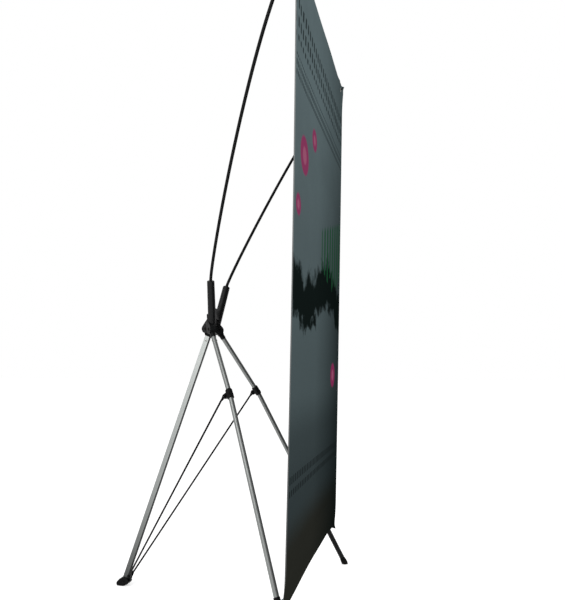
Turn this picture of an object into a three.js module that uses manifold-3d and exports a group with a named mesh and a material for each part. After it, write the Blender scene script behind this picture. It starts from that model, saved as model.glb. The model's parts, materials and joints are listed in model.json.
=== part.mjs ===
// X banner stand: a moulded hub on three folding legs, two bowed poles and an 80 x 180 cm banner.
// Millimetres, +Z up. The banner faces -Y, its width runs along X and the rear leg reaches to +Y.
// While it is built, Y is measured from the banner's bottom edge. At the end the stand is moved so
// that the origin lies on the floor under the middle of its bounding box.

import * as THREE from 'three';
import { mergeVertices } from 'three/addons/utils/BufferGeometryUtils.js';
import Module from 'manifold-3d';

const wasm = await Module();
wasm.setup();

// Clearances
const FIT_GAP = 0.3;
const RUN_GAP = 0.5;
const EYE_GAP = 0.9;
const OVERRUN = 5;
const CUT_SPAN = 140;

// Banner
const BANNER_WIDTH = 800;
const BANNER_HEIGHT = 1800;
const BANNER_THICKNESS = 0.9;
const BANNER_FOOT_HEIGHT = 142;
const BANNER_LEAN = 38;
const BOTTOM_EDGE_RISE = 20;
const TOP_EDGE_SAG = 6;
const SIDE_EDGE_DRAW = 9;
const MIDDLE_BOW = 2.4;
const FOOT_PULL = 8.4;
const HEAD_PULL = 2;
const PULL_REACH = 85;
const FOOT_DIMPLE = 10;
const HEAD_DIMPLE = 2;
const DIMPLE_REACH = 11;
const SIDE_CURL = 5.5;
const CORNER_CURL = 4;
const CREASE_DEPTH = 2.2;
const CREASE_WAVES = 3;
const END_POWER = 12;
const BOTTOM_POWER = 10;
const TOP_POWER = 4;
const BANNER_COLUMNS = 14;
const BANNER_ROWS = 27;

// Eyelets
const GROMMET_INSET = 22;
const GROMMET_FLANGE_RADIUS = 8;
const GROMMET_BARREL_RADIUS = 5.6;
const GROMMET_HOLE_RADIUS = 4.6;
const GROMMET_FLANGE = 0.8;
const GROMMET_FLAT = 1;

// Hub and its three hinges
const REAR_HINGE_SETBACK = 386.5;
const REAR_HINGE_HEIGHT = 928;
const FRONT_HINGE_X = 32;
const FRONT_HINGE_ADVANCE = 29;
const FRONT_HINGE_DROP = 4;
const FRONT_AZIMUTH = THREE.MathUtils.degToRad(45.5);
const FRONT_EAR_RADIUS = 16.5;
const FRONT_TONGUE_RADIUS = 13;
const FRONT_TONGUE_WIDTH = 10;
const FRONT_EAR = 5.5;
const FRONT_PIN_RADIUS = 3;
const REAR_EAR_RADIUS = 16;
const REAR_TONGUE_RADIUS = 12.4;
const REAR_TONGUE_WIDTH = 12;
const REAR_EAR = 6;
const REAR_PIN_RADIUS = 3.5;
const PIN_HEAD_OVER = 2.2;
const PIN_HEAD = 2;
const HEAD_FACE_SHARE = 0.6;

// Hub body, its advances and rises counted from the rear hinge
const NECK_ADVANCE = 31.5;
const NECK_RISE = 10;
const NECK_HALF_WIDTH = 27;
const NECK_DEPTH = 17;
const NECK_TOP_RISE = 44;
const NECK_CORNER = 6;
const NECK_FLARE = 6;
const WEB_FOOT_RISE = 32;
const WEB_RISE = 70;
const WEB_FLARE = 12;
const WEB_ADVANCE = 31.5;
const WEB_THICKNESS = 16;
const REAR_EAR_BACK_ADVANCE = 11;
const REAR_EAR_BACK_RISE = 44;
const REAR_EAR_TOP_ADVANCE = 20.5;
const REAR_EAR_TOP_RISE = 56;
const REAR_EAR_FRONT_STEP = 4;
const FRONT_EAR_RISE = 24;
const FRONT_ARM_RISE = 30;
const FRONT_ARM_DROP = 8;
const FRONT_ARM_SHARE = 0.5;

// Pole sleeves
const SLEEVE_RADIUS = 14;
const SLEEVE_MOUTH_RADIUS = 12.6;
const SLEEVE_CHAMFER = 1.6;
const SLEEVE_LENGTH = 150;
const SLEEVE_FOOT_X = 21.2;
const SLEEVE_FOOT_ADVANCE = 27.5;
const SLEEVE_FOOT_RISE = 18;
const SLEEVE_SPREAD = THREE.MathUtils.degToRad(20.6);
const SLEEVE_LEAN = THREE.MathUtils.degToRad(6.7);

// Poles and their tips
const POLE_RADIUS = 5.2;
const POLE_SEAT = 22;
const POLE_START_PULL = 60;
const POLE_END_PULL = 220;
const POLE_END_SPREAD = THREE.MathUtils.degToRad(14.8);
const POLE_END_LEAN = THREE.MathUtils.degToRad(36.4);
const POLE_STEPS = 22;
const CAP_RADIUS = 6.8;
const CAP_LENGTH = 26;
const CAP_STANDOFF = 9.5;
const HOOK_RADIUS = 2.2;
const HOOK_REACH = 6;
const HOOK_TURN_RADIUS = 4;
const HOOK_NOSE = 3;

// Front legs
const TUBE_RADIUS = 8;
const TUBE_WALL = 1.2;
const UPPER_TILT = THREE.MathUtils.degToRad(35.1);
const LOWER_TILT = THREE.MathUtils.degToRad(29.3);
const FRONT_FOLD = THREE.MathUtils.degToRad(29.3);
const BEND_DISTANCE = 284.5;
const BEND_RADIUS = 40;
const KNUCKLE_LENGTH = 35;
const KNUCKLE_RADIUS = 9.2;
const KNUCKLE_CHAMFER = 0.8;
const SHANK_CHAMFER = 2;
const SPIGOT_LENGTH = 26;
const RIVET_RADIUS = 1.6;
const RIVET_HEAD_RADIUS = 3.2;
const RIVET_HEAD = 1.3;
const FRONT_RIVET_DISTANCE = 49;
const TUBE_STANDOFF = 12;

// Lower sleeves, banner hooks and feet
const BOOT_RADIUS = 9.5;
const BOOT_TOP_HEIGHT = 173;
const BOOT_RING_RADIUS = 11;
const BOOT_RING = 9;
const TIP_RADIUS = 11.8;
const TIP_NECK_RADIUS = 10;
const TIP_LENGTH = 35;
const TIP_BULB_SHARES = [
  [0, -0.32], [0.62, -0.26], [0.88, -0.1], [1, 0.14], [1, 0.34], [0.97, 0.5], [0.88, 0.7], [0.8, 0.85],
];

// Rear leg
const REAR_TILT = THREE.MathUtils.degToRad(20.15);
const REAR_TUBE_DEPTH = 20;
const REAR_TUBE_WIDTH = 11;
const REAR_TUBE_OFFSET = 12.4;
const REAR_TUBE_CORNER = 2;
const REAR_KNUCKLE_LENGTH = 23;
const REAR_SPIGOT_LENGTH = 30;
const REAR_RIVET_DISTANCE = 40;
const REAR_TUBE_STANDOFF = 9;

// Collars and braces
const COLLAR_RADIUS = 11.4;
const COLLAR_LENGTH = 33;
const COLLAR_STANDOFF = 2.6;
const COLLAR_CHAMFER = 1;
const COLLAR_TOP_CHAMFER = 1.4;
const COLLAR_TOP_DROP = 2;
const EYE_DISTANCE = 267;
const EYE_INSET = 10;
const EYE_SIDE = 17;
const EYE_CANT = THREE.MathUtils.degToRad(17.52);
const EYE_TWIST = THREE.MathUtils.degToRad(4.36);
const LUG_RADIUS = 8.6;
const LUG_THICKNESS = 8;
const BRACE_RADIUS = 3.3;
const EYE_RADIUS = 6.5;
const EYE_THICKNESS = 3;
const EYE_HOLE_RADIUS = 2.7;
const EYE_NECK = 16;
const EYE_TAPER_START = 7;
const ROD_POINT_SHARE = 0.4;
const BRACE_PIN_RADIUS = 2;
const BRACE_PIN_HEAD_RADIUS = 4.3;
const BRACE_PIN_HEAD = 1.6;

// Rear shoe, its outlines as shares of their length and height
const SHOE_WIDTH = 22;
const FOOT_EYE_GAP = 2.4;
const BRACE_FOOT_SETBACK = 686.5;
const BRACE_FOOT_HEIGHT = 36;
const FOOT_RIVET_HEIGHT = 15;
const SHOE_SETBACK = 684;
const SHOE_LENGTH = 52;
const SHOE_HEIGHT = 31;
const SHOE_SHARES = [
  [0, 0.541], [0.116, 0.297], [0.298, 0.108], [0.496, 0], [0.926, 0],
  [1, 0.135], [0.992, 0.405], [0.777, 0.784], [0.512, 1], [0.182, 0.892],
];
const SHOE_LUG_SETBACK = 680;
const SHOE_LUG_LENGTH = 27;
const SHOE_LUG_BASE = 14;
const SHOE_LUG_HEIGHT = 34;
const SHOE_LUG_SHARES = [
  [0, 0.553], [0.031, 0.395], [0.281, 0], [1, 0.105], [1, 0.789],
  [0.562, 1], [0.25, 0.974], [0.062, 0.816],
];

// Facets
const FINE = 24;
const ROUND = 20;
const SMALL = 12;
const SLIM = 8;

const UP = new THREE.Vector3(0, 0, 1);
const SIDES = [['left', -1], ['right', 1]];
const stand = new THREE.Group();

function vector(x, y, z) {
  return new THREE.Vector3(x, y, z);
}

// Drops all but the points of a closed geometry and merges those that coincide
function closed(geometry) {
  geometry.deleteAttribute('normal');
  geometry.deleteAttribute('uv');
  const merged = mergeVertices(geometry);
  const corners = Array.from(merged.index.array);
  const kept = [];
  for (let i = 0; i < corners.length; i += 3) {
    const [a, b, c] = corners.slice(i, i + 3);
    if (a !== b && b !== c && c !== a) kept.push(a, b, c);
  }
  merged.setIndex(kept);
  return merged;
}

function solidOf(geometry) {
  return new wasm.Manifold(new wasm.Mesh({
    numProp: 3,
    vertProperties: new Float32Array(geometry.attributes.position.array),
    triVerts: new Uint32Array(geometry.index.array),
  }));
}

function geometryOf(solid) {
  const mesh = solid.getMesh();
  const points = new Float32Array((mesh.vertProperties.length / mesh.numProp) * 3);
  for (let i = 0; i < points.length / 3; i += 1) {
    for (let axis = 0; axis < 3; axis += 1) {
      points[3 * i + axis] = mesh.vertProperties[mesh.numProp * i + axis];
    }
  }
  const geometry = new THREE.BufferGeometry();
  geometry.setAttribute('position', new THREE.BufferAttribute(points, 3));
  geometry.setIndex(Array.from(mesh.triVerts));
  return geometry;
}

function join(...pieces) {
  return pieces.map(solidOf).reduce((all, piece) => all.add(piece));
}

function cut(solid, ...tools) {
  return tools.map(solidOf).reduce((rest, tool) => rest.subtract(tool), solid);
}

// A profile of [radius, height] points turned about the Z axis
function turned(profile, sides) {
  const points = profile.map(([radius, height]) => new THREE.Vector2(radius, height));
  return closed(new THREE.LatheGeometry(points, sides)).rotateX(Math.PI / 2);
}

// Turns a piece drawn along +Z towards a direction and sets it down at a point
function aimed(geometry, origin, direction) {
  const turn = new THREE.Quaternion().setFromUnitVectors(UP, direction.clone().normalize());
  return geometry.applyQuaternion(turn).translate(origin.x, origin.y, origin.z);
}

function bar(from, to, radius, sides) {
  const along = to.clone().sub(from);
  const profile = [[0, 0], [radius, 0], [radius, along.length()], [0, along.length()]];
  return aimed(turned(profile, sides), from, along);
}

function ball(centre, radius, sides) {
  return closed(new THREE.SphereGeometry(radius, sides, sides / 2)).translate(centre.x, centre.y, centre.z);
}

// An outline of [x, z] points as a slab centred on the XZ plane
function slab(outline, thickness) {
  const shape = new THREE.Shape(outline.map(([x, z]) => new THREE.Vector2(x, z)));
  const geometry = closed(new THREE.ExtrudeGeometry(shape, { depth: thickness, bevelEnabled: false, steps: 1 }));
  return geometry.translate(0, 0, -thickness / 2).rotateX(Math.PI / 2);
}

// An outline of [y, z] points as a slab centred on the YZ plane
function sideSlab(outline, thickness) {
  return slab(outline, thickness).rotateZ(Math.PI / 2);
}

function arcPoints(x, z, radius, from, to, steps) {
  return Array.from({ length: steps + 1 }, (unused, i) => {
    const angle = from + ((to - from) * i) / steps;
    return [x + radius * Math.cos(angle), z + radius * Math.sin(angle)];
  });
}

// The outline around a set of [x, z, radius] discs, as a taut band would run
function hull(discs) {
  const points = discs.flatMap(([x, z, radius]) => (
    radius > 0 ? arcPoints(x, z, radius, 0, 2 * Math.PI, FINE).slice(1) : [[x, z]]));
  points.sort((a, b) => a[0] - b[0] || a[1] - b[1]);
  const turn = (o, a, b) => (a[0] - o[0]) * (b[1] - o[1]) - (a[1] - o[1]) * (b[0] - o[0]);
  const chain = (list) => {
    const kept = [];
    for (const point of list) {
      while (kept.length > 1 && turn(kept[kept.length - 2], kept[kept.length - 1], point) <= 0) kept.pop();
      kept.push(point);
    }
    kept.pop();
    return kept;
  };
  return [...chain(points), ...chain(points.reverse())];
}

// A path through given points whose steps fall on the points themselves
class PointPath extends THREE.Curve {
  constructor(points) {
    super();
    this.points = points;
  }

  getPoint(t, target = new THREE.Vector3()) {
    const place = t * (this.points.length - 1);
    const index = Math.min(Math.floor(place), this.points.length - 2);
    return target.lerpVectors(this.points[index], this.points[index + 1], place - index);
  }

  getTangent(t, target = new THREE.Vector3()) {
    const last = this.points.length - 1;
    const index = Math.round(t * last);
    const here = this.points[index];
    const before = here.clone().sub(this.points[Math.max(index - 1, 0)]).normalize();
    const after = this.points[Math.min(index + 1, last)].clone().sub(here).normalize();
    return target.addVectors(before, after).normalize();
  }

  getUtoTmapping(u) {
    return u;
  }
}

function sweep(points, radius, sides) {
  const section = new THREE.Shape(arcPoints(0, 0, radius, 0, 2 * Math.PI, sides).slice(1)
    .map(([x, y]) => new THREE.Vector2(x, y)));
  const path = new PointPath(points);
  return closed(new THREE.ExtrudeGeometry(section, { extrudePath: path, steps: points.length - 1 }));
}

// The corner of a route rounded by an arc
function roundedCorner(before, corner, after, radius, steps) {
  const inward = corner.clone().sub(before).normalize();
  const outward = after.clone().sub(corner).normalize();
  const angle = inward.angleTo(outward);
  const setback = radius * Math.tan(angle / 2);
  const start = corner.clone().addScaledVector(inward, -setback);
  const side = outward.clone().addScaledVector(inward, -Math.cos(angle)).normalize();
  return Array.from({ length: steps + 1 }, (unused, i) => {
    const part = (angle * i) / steps;
    return start.clone().addScaledVector(inward, radius * Math.sin(part))
      .addScaledVector(side, radius * (1 - Math.cos(part)));
  });
}

function addPiece(parent, name, geometry, material) {
  geometry.computeVertexNormals();
  const mesh = new THREE.Mesh(geometry, material());
  mesh.name = name;
  parent.add(mesh);
}

const blackPlastic = () => new THREE.MeshStandardMaterial({ color: 0x17191a, roughness: 0.5 });
const blackRubber = () => new THREE.MeshStandardMaterial({ color: 0x121212, roughness: 0.8 });
const blackSteel = () => new THREE.MeshStandardMaterial({ color: 0x202223, roughness: 0.45, metalness: 0.7 });
const fibreglass = () => new THREE.MeshStandardMaterial({ color: 0x101112, roughness: 0.35 });
const aluminium = () => new THREE.MeshStandardMaterial({ color: 0xb4b8b6, roughness: 0.38, metalness: 0.9 });
const plated = () => new THREE.MeshStandardMaterial({ color: 0xc8cac8, roughness: 0.25, metalness: 1 });
const print = () => new THREE.MeshStandardMaterial({ color: 0x525d5e, roughness: 0.6 });

// Places that several pieces share
const rearHinge = vector(0, REAR_HINGE_SETBACK, REAR_HINGE_HEIGHT);
const fromRearHinge = (x, advance, rise) => rearHinge.clone().add(vector(x, -advance, rise));
const frontHinge = (side) => fromRearHinge(side * FRONT_HINGE_X, FRONT_HINGE_ADVANCE, -FRONT_HINGE_DROP);
const frontTurn = (side) => (side > 0 ? -FRONT_AZIMUTH : Math.PI + FRONT_AZIMUTH);
const bannerTurn = Math.asin(BANNER_LEAN / BANNER_HEIGHT);

// From a front leg's upright drawing plane (x outward, z up) to the stand
function hingeMatrix(side) {
  const turn = new THREE.Matrix4().makeRotationZ(frontTurn(side));
  return turn.setPosition(frontHinge(side));
}

// From a front leg's own drawing, in which its upper tube hangs along -Z, to the stand
function legMatrix(side) {
  return hingeMatrix(side).multiply(new THREE.Matrix4().makeRotationY(-UPPER_TILT));
}

// An eyelet's place on the banner, before the banner is leaned and lifted
function eyeletOnBanner(side, top) {
  const height = top ? BANNER_HEIGHT - GROMMET_INSET : GROMMET_INSET;
  const depth = top ? HEAD_PULL + HEAD_DIMPLE : FOOT_PULL + FOOT_DIMPLE;
  return vector(side * (BANNER_WIDTH / 2 - GROMMET_INSET), depth, height);
}

function eyeletPlace(side, top, behind) {
  const place = eyeletOnBanner(side, top).add(vector(0, behind, 0));
  return place.applyAxisAngle(vector(1, 0, 0), bannerTurn).add(vector(0, 0, BANNER_FOOT_HEIGHT));
}

const EYELETS = SIDES.flatMap(([word, side]) => [
  [`bottom_${word}`, eyeletOnBanner(side, false)],
  [`top_${word}`, eyeletOnBanner(side, true)],
]);

// A finger passes through an eyelet against the rim that the banner pulls on it
const HOOK_SHIFT = GROMMET_HOLE_RADIUS - HOOK_RADIUS - FIT_GAP;
const upperTubeEnd = -BEND_DISTANCE;
const lowerDirection = vector(-Math.sin(UPPER_TILT - LOWER_TILT), 0, -Math.cos(UPPER_TILT - LOWER_TILT));
const bendHeight = frontHinge(1).z - BEND_DISTANCE * Math.cos(UPPER_TILT);
const lowerLength = bendHeight / Math.cos(LOWER_TILT);

// A point of the lower tube's axis, its distance measured along the tube from the floor
function lowerPoint(side, distance) {
  const place = vector(0, 0, upperTubeEnd).addScaledVector(lowerDirection, lowerLength - distance);
  return place.applyMatrix4(legMatrix(side));
}

// Sleeve axis
const sleeveFoot = (side) => fromRearHinge(side * SLEEVE_FOOT_X, SLEEVE_FOOT_ADVANCE, SLEEVE_FOOT_RISE);
const leaning = (side, spread, lean) => vector(side * Math.tan(spread), -Math.tan(lean), 1).normalize();

function poleRoute(side, startGap, endGap) {
  const rise = leaning(side, SLEEVE_SPREAD, SLEEVE_LEAN);
  const lead = leaning(side, POLE_END_SPREAD, POLE_END_LEAN);
  const seat = sleeveFoot(side).addScaledVector(rise, POLE_SEAT - startGap);
  const mouth = sleeveFoot(side).addScaledVector(rise, SLEEVE_LENGTH);
  const nose = capNose(side);
  const capMouth = nose.clone().addScaledVector(lead, -CAP_LENGTH);
  const bow = new THREE.CubicBezierCurve3(
    mouth,
    mouth.clone().addScaledVector(rise, POLE_START_PULL),
    capMouth.clone().addScaledVector(lead, -POLE_END_PULL),
    capMouth,
  );
  return [seat, ...bow.getSpacedPoints(POLE_STEPS), nose.clone().addScaledVector(lead, endGap - CAP_RADIUS / 2)];
}

function capNose(side) {
  const nose = eyeletPlace(side, true, CAP_STANDOFF);
  nose.z += HOOK_SHIFT;
  return nose;
}

// A knuckle's outline in its leg's own drawing, as discs for a hull: hinge boss and shank
const frontTongue = (grow) => [
  [0, 0, FRONT_TONGUE_RADIUS + grow],
  [KNUCKLE_RADIUS + grow, -FRONT_EAR_RADIUS - OVERRUN, 0],
  [-KNUCKLE_RADIUS - grow, -FRONT_EAR_RADIUS - OVERRUN, 0],
];
const rearTongue = (grow) => [
  [0, 0, REAR_TONGUE_RADIUS + grow],
  [-REAR_TUBE_OFFSET - REAR_TUBE_DEPTH / 2 - grow, -REAR_KNUCKLE_LENGTH / 2, 0],
  [-REAR_TUBE_OFFSET - REAR_TUBE_DEPTH / 2 - grow, -REAR_KNUCKLE_LENGTH, 0],
  [-REAR_TUBE_OFFSET + REAR_TUBE_DEPTH / 2 + grow, -REAR_KNUCKLE_LENGTH, 0],
];

// The outline that a knuckle sweeps as its leg swings from one tilt to another
function sweptOutline(discs, from, to) {
  const shares = [0, 0.25, 0.5, 0.75, 1];
  return hull(shares.flatMap((share) => {
    const angle = from + (to - from) * share;
    return discs.map(([x, z, radius]) => [
      x * Math.cos(angle) - z * Math.sin(angle),
      x * Math.sin(angle) + z * Math.cos(angle),
      radius,
    ]);
  }));
}

// The room for a knuckle between its ears
function frontSlot(side) {
  const outline = sweptOutline(frontTongue(RUN_GAP), UPPER_TILT, UPPER_TILT - FRONT_FOLD);
  return slab(outline, FRONT_TONGUE_WIDTH + 2 * RUN_GAP).applyMatrix4(hingeMatrix(side));
}

function rearSlot() {
  const outline = sweptOutline(rearTongue(RUN_GAP), REAR_TILT, 0);
  return sideSlab(outline, REAR_TONGUE_WIDTH + 2 * RUN_GAP).translate(rearHinge.x, rearHinge.y, rearHinge.z);
}

function pinHole(radius, width) {
  return bar(vector(0, -width, 0), vector(0, width, 0), radius, ROUND);
}

function sleeveBody(side) {
  const profile = [
    [0, 0], [SLEEVE_RADIUS - SLEEVE_CHAMFER, 0], [SLEEVE_RADIUS, SLEEVE_CHAMFER],
    [SLEEVE_MOUTH_RADIUS, SLEEVE_LENGTH - SLEEVE_CHAMFER],
    [SLEEVE_MOUTH_RADIUS - SLEEVE_CHAMFER, SLEEVE_LENGTH], [0, SLEEVE_LENGTH],
  ];
  return aimed(turned(profile, FINE), sleeveFoot(side), leaning(side, SLEEVE_SPREAD, SLEEVE_LEAN));
}

function frontEars(side) {
  const armX = -FRONT_HINGE_X * FRONT_ARM_SHARE;
  const outline = hull([
    [0, 0, FRONT_EAR_RADIUS],
    [0, FRONT_EAR_RISE, 0],
    [armX, FRONT_ARM_RISE, 0],
    [armX - FRONT_ARM_DROP, FRONT_ARM_RISE - FRONT_ARM_DROP, 0],
  ]);
  return slab(outline, FRONT_TONGUE_WIDTH + 2 * (RUN_GAP + FRONT_EAR)).applyMatrix4(hingeMatrix(side));
}

function hubCore() {
  const rearWidth = REAR_TONGUE_WIDTH + 2 * (RUN_GAP + REAR_EAR);
  const ears = sideSlab(hull([
    [0, 0, REAR_EAR_RADIUS],
    [-REAR_EAR_BACK_ADVANCE, REAR_EAR_BACK_RISE, 0],
    [-REAR_EAR_TOP_ADVANCE, REAR_EAR_TOP_RISE, 0],
    [-NECK_ADVANCE, REAR_EAR_TOP_RISE, 0],
    [-NECK_ADVANCE + REAR_EAR_FRONT_STEP, NECK_RISE, 0],
  ]), rearWidth);
  const neck = slab(hull([
    [-NECK_HALF_WIDTH, NECK_RISE + NECK_CORNER, NECK_CORNER],
    [NECK_HALF_WIDTH, NECK_RISE + NECK_CORNER, NECK_CORNER],
    [-NECK_HALF_WIDTH - NECK_FLARE, NECK_TOP_RISE, NECK_CORNER],
    [NECK_HALF_WIDTH + NECK_FLARE, NECK_TOP_RISE, NECK_CORNER],
  ]), NECK_DEPTH).translate(0, NECK_DEPTH / 2 - NECK_ADVANCE, 0);
  const web = slab(hull([
    [-NECK_HALF_WIDTH, WEB_FOOT_RISE, 0],
    [NECK_HALF_WIDTH, WEB_FOOT_RISE, 0],
    [-NECK_HALF_WIDTH - WEB_FLARE, WEB_RISE, 0],
    [NECK_HALF_WIDTH + WEB_FLARE, WEB_RISE, 0],
  ]), WEB_THICKNESS).translate(0, -WEB_ADVANCE, 0);
  for (const piece of [ears, neck, web]) piece.translate(rearHinge.x, rearHinge.y, rearHinge.z);
  const bores = SIDES.map(([, side]) => sweep(poleRoute(side, FIT_GAP, 0), POLE_RADIUS + FIT_GAP, SMALL));
  return cut(
    join(ears, neck, web, ...SIDES.flatMap(([, side]) => [sleeveBody(side), frontEars(side)])),
    ...bores,
    rearSlot(),
    ...SIDES.map(([, side]) => frontSlot(side)),
    ...SIDES.map(([, side]) => pinHole(FRONT_PIN_RADIUS + FIT_GAP, FRONT_TONGUE_WIDTH * 2)
      .applyMatrix4(hingeMatrix(side))),
    pinHole(REAR_PIN_RADIUS + FIT_GAP, REAR_TONGUE_WIDTH * 2).rotateZ(Math.PI / 2)
      .translate(rearHinge.x, rearHinge.y, rearHinge.z),
  );
}

// A pin or rivet along Y with a low domed head at both ends, clamping a given width
function headed(width, radius, headRadius, head) {
  const inner = width / 2 + FIT_GAP;
  const profile = [
    [0, -inner - head], [headRadius * HEAD_FACE_SHARE, -inner - head], [headRadius, -inner - head / 2],
    [headRadius, -inner], [radius, -inner], [radius, inner], [headRadius, inner],
    [headRadius, inner + head / 2], [headRadius * HEAD_FACE_SHARE, inner + head], [0, inner + head],
  ];
  return turned(profile, SMALL).rotateX(Math.PI / 2);
}

function frontKnuckle() {
  const shankTop = -FRONT_EAR_RADIUS - RUN_GAP;
  const end = -KNUCKLE_LENGTH;
  const shank = turned([
    [0, end], [KNUCKLE_RADIUS - KNUCKLE_CHAMFER, end], [KNUCKLE_RADIUS, end + KNUCKLE_CHAMFER],
    [KNUCKLE_RADIUS, shankTop - SHANK_CHAMFER], [KNUCKLE_RADIUS - SHANK_CHAMFER, shankTop], [0, shankTop],
  ], FINE);
  const spigotRadius = TUBE_RADIUS - TUBE_WALL - FIT_GAP;
  const spigot = bar(vector(0, 0, end - SPIGOT_LENGTH), vector(0, 0, end + OVERRUN), spigotRadius, ROUND);
  return cut(
    join(slab(hull(frontTongue(0)), FRONT_TONGUE_WIDTH), shank, spigot),
    pinHole(FRONT_PIN_RADIUS + FIT_GAP, FRONT_TONGUE_WIDTH),
    pinHole(RIVET_RADIUS + FIT_GAP, TUBE_RADIUS * 2).translate(0, 0, -FRONT_RIVET_DISTANCE),
  );
}

function frontTube() {
  const start = vector(0, 0, -KNUCKLE_LENGTH - FIT_GAP);
  const corner = vector(0, 0, upperTubeEnd);
  const end = corner.clone().addScaledVector(lowerDirection, lowerLength - TUBE_STANDOFF);
  const bend = roundedCorner(start, corner, end, BEND_RADIUS, 3);
  const beyond = end.clone().addScaledVector(lowerDirection, OVERRUN);
  const above = start.clone().add(vector(0, 0, OVERRUN));
  return cut(
    join(sweep([start, ...bend, end], TUBE_RADIUS, FINE)),
    sweep([above, ...bend, beyond], TUBE_RADIUS - TUBE_WALL, ROUND),
    pinHole(RIVET_RADIUS + FIT_GAP, TUBE_RADIUS * 2).translate(0, 0, -FRONT_RIVET_DISTANCE),
  );
}

// Direction of a brace eye's pivot in a front leg's own drawing
function eyeNormal(side) {
  const flat = Math.cos(EYE_TWIST);
  return vector(Math.sin(EYE_CANT) * flat, side * Math.cos(EYE_CANT) * flat, -Math.sin(EYE_TWIST));
}

const eyePlace = (side) => vector(-EYE_INSET, side * EYE_SIDE, -EYE_DISTANCE);

function collar(side) {
  const low = upperTubeEnd + COLLAR_STANDOFF;
  const high = low + COLLAR_LENGTH;
  const body = turned([
    [0, low], [COLLAR_RADIUS - COLLAR_CHAMFER, low], [COLLAR_RADIUS, low + COLLAR_CHAMFER],
    [COLLAR_RADIUS, high - COLLAR_TOP_DROP], [COLLAR_RADIUS - COLLAR_TOP_CHAMFER, high], [0, high],
  ], FINE);
  const face = eyePlace(side).addScaledVector(eyeNormal(side), -EYE_THICKNESS / 2 - EYE_GAP);
  const axisPoint = face.clone().projectOnVector(UP);
  const inward = face.clone().sub(axisPoint);
  const normal = eyeNormal(side);
  const reach = inward.clone().addScaledVector(normal, -inward.dot(normal)).negate();
  const away = reach.clone().normalize();
  const up = new THREE.Vector3().crossVectors(normal, away).normalize();
  const outline = hull([[0, 0, LUG_RADIUS], [reach.length(), 0, LUG_RADIUS]]);
  const basis = new THREE.Matrix4().makeBasis(away, normal.clone().negate(), up);
  const lug = slab(outline, LUG_THICKNESS).translate(0, LUG_THICKNESS / 2, 0)
    .applyMatrix4(basis).translate(face.x, face.y, face.z);
  const bore = bar(vector(0, 0, low - OVERRUN), vector(0, 0, high + OVERRUN), TUBE_RADIUS + FIT_GAP, FINE);
  const hole = bar(
    face.clone().addScaledVector(normal, OVERRUN),
    face.clone().addScaledVector(normal, -LUG_THICKNESS / 2),
    BRACE_PIN_RADIUS + FIT_GAP,
    SMALL,
  );
  return cut(join(body, lug), bore, hole);
}

// Brace ends in the stand
const braceTop = (side) => eyePlace(side).applyMatrix4(legMatrix(side));
const braceTopNormal = (side) => eyeNormal(side).transformDirection(legMatrix(side));
const braceFootX = REAR_TUBE_WIDTH / 2 + FOOT_EYE_GAP + EYE_THICKNESS / 2;
const braceFoot = (side) => vector(side * braceFootX, BRACE_FOOT_SETBACK, BRACE_FOOT_HEIGHT);

// A flattened eye with its neck, facing along a normal, the rod leaving it towards a direction
function eyeBlank(place, normal, direction) {
  const up = new THREE.Vector3().crossVectors(direction, normal).normalize();
  const across = normal.clone().normalize();
  const along = new THREE.Vector3().crossVectors(across, up);
  const outline = hull([[0, 0, EYE_RADIUS], [EYE_NECK, BRACE_RADIUS, 0], [EYE_NECK, -BRACE_RADIUS, 0]]);
  const basis = new THREE.Matrix4().makeBasis(along, across, up);
  return slab(outline, EYE_THICKNESS).applyMatrix4(basis).translate(place.x, place.y, place.z);
}

function brace(side) {
  const top = braceTop(side);
  const foot = braceFoot(side);
  const topNormal = braceTopNormal(side);
  const footNormal = vector(side, 0, 0);
  const lift = BRACE_RADIUS - EYE_THICKNESS / 2;
  const along = top.clone().sub(foot).normalize();
  const start = foot.clone().addScaledVector(footNormal, lift).addScaledVector(along, EYE_TAPER_START);
  const end = top.clone().addScaledVector(topNormal, lift).addScaledVector(along, -EYE_TAPER_START);
  const length = end.distanceTo(start);
  const taper = EYE_NECK - EYE_TAPER_START;
  const point = BRACE_RADIUS * ROD_POINT_SHARE;
  const rod = turned([
    [0, 0], [point, 0], [BRACE_RADIUS, taper], [BRACE_RADIUS, length - taper], [point, length], [0, length],
  ], SMALL);
  const holeAt = (place, normal) => bar(
    place.clone().addScaledVector(normal, -OVERRUN),
    place.clone().addScaledVector(normal, OVERRUN),
    EYE_HOLE_RADIUS,
    SMALL,
  );
  return cut(
    join(
      aimed(rod, start, end.clone().sub(start)),
      eyeBlank(foot, footNormal, along),
      eyeBlank(top, topNormal, along.clone().negate()),
    ),
    holeAt(foot, footNormal),
    holeAt(top, topNormal),
  );
}

// A rivet whose shank ends at the inner face of the brace's upper eye
function braceRivet(side) {
  const normal = braceTopNormal(side);
  const inner = braceTop(side).addScaledVector(normal, -EYE_THICKNESS / 2);
  const seat = EYE_THICKNESS + FIT_GAP;
  const top = seat + BRACE_PIN_HEAD;
  return aimed(turned([
    [0, 0], [BRACE_PIN_RADIUS, 0], [BRACE_PIN_RADIUS, seat], [BRACE_PIN_HEAD_RADIUS, seat],
    [BRACE_PIN_HEAD_RADIUS, seat + BRACE_PIN_HEAD / 2], [BRACE_PIN_HEAD_RADIUS * HEAD_FACE_SHARE, top], [0, top],
  ], SMALL), inner, normal);
}

// The rear leg in its own drawing hangs along -Z in front of its hinge
const rearSection = (grow, corner) => hull([
  [REAR_TUBE_DEPTH / 2 + grow - corner, REAR_TUBE_WIDTH / 2 + grow - corner, corner],
  [REAR_TUBE_DEPTH / 2 + grow - corner, -REAR_TUBE_WIDTH / 2 - grow + corner, corner],
  [-REAR_TUBE_DEPTH / 2 - grow + corner, REAR_TUBE_WIDTH / 2 + grow - corner, corner],
  [-REAR_TUBE_DEPTH / 2 - grow + corner, -REAR_TUBE_WIDTH / 2 - grow + corner, corner],
]);

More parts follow.
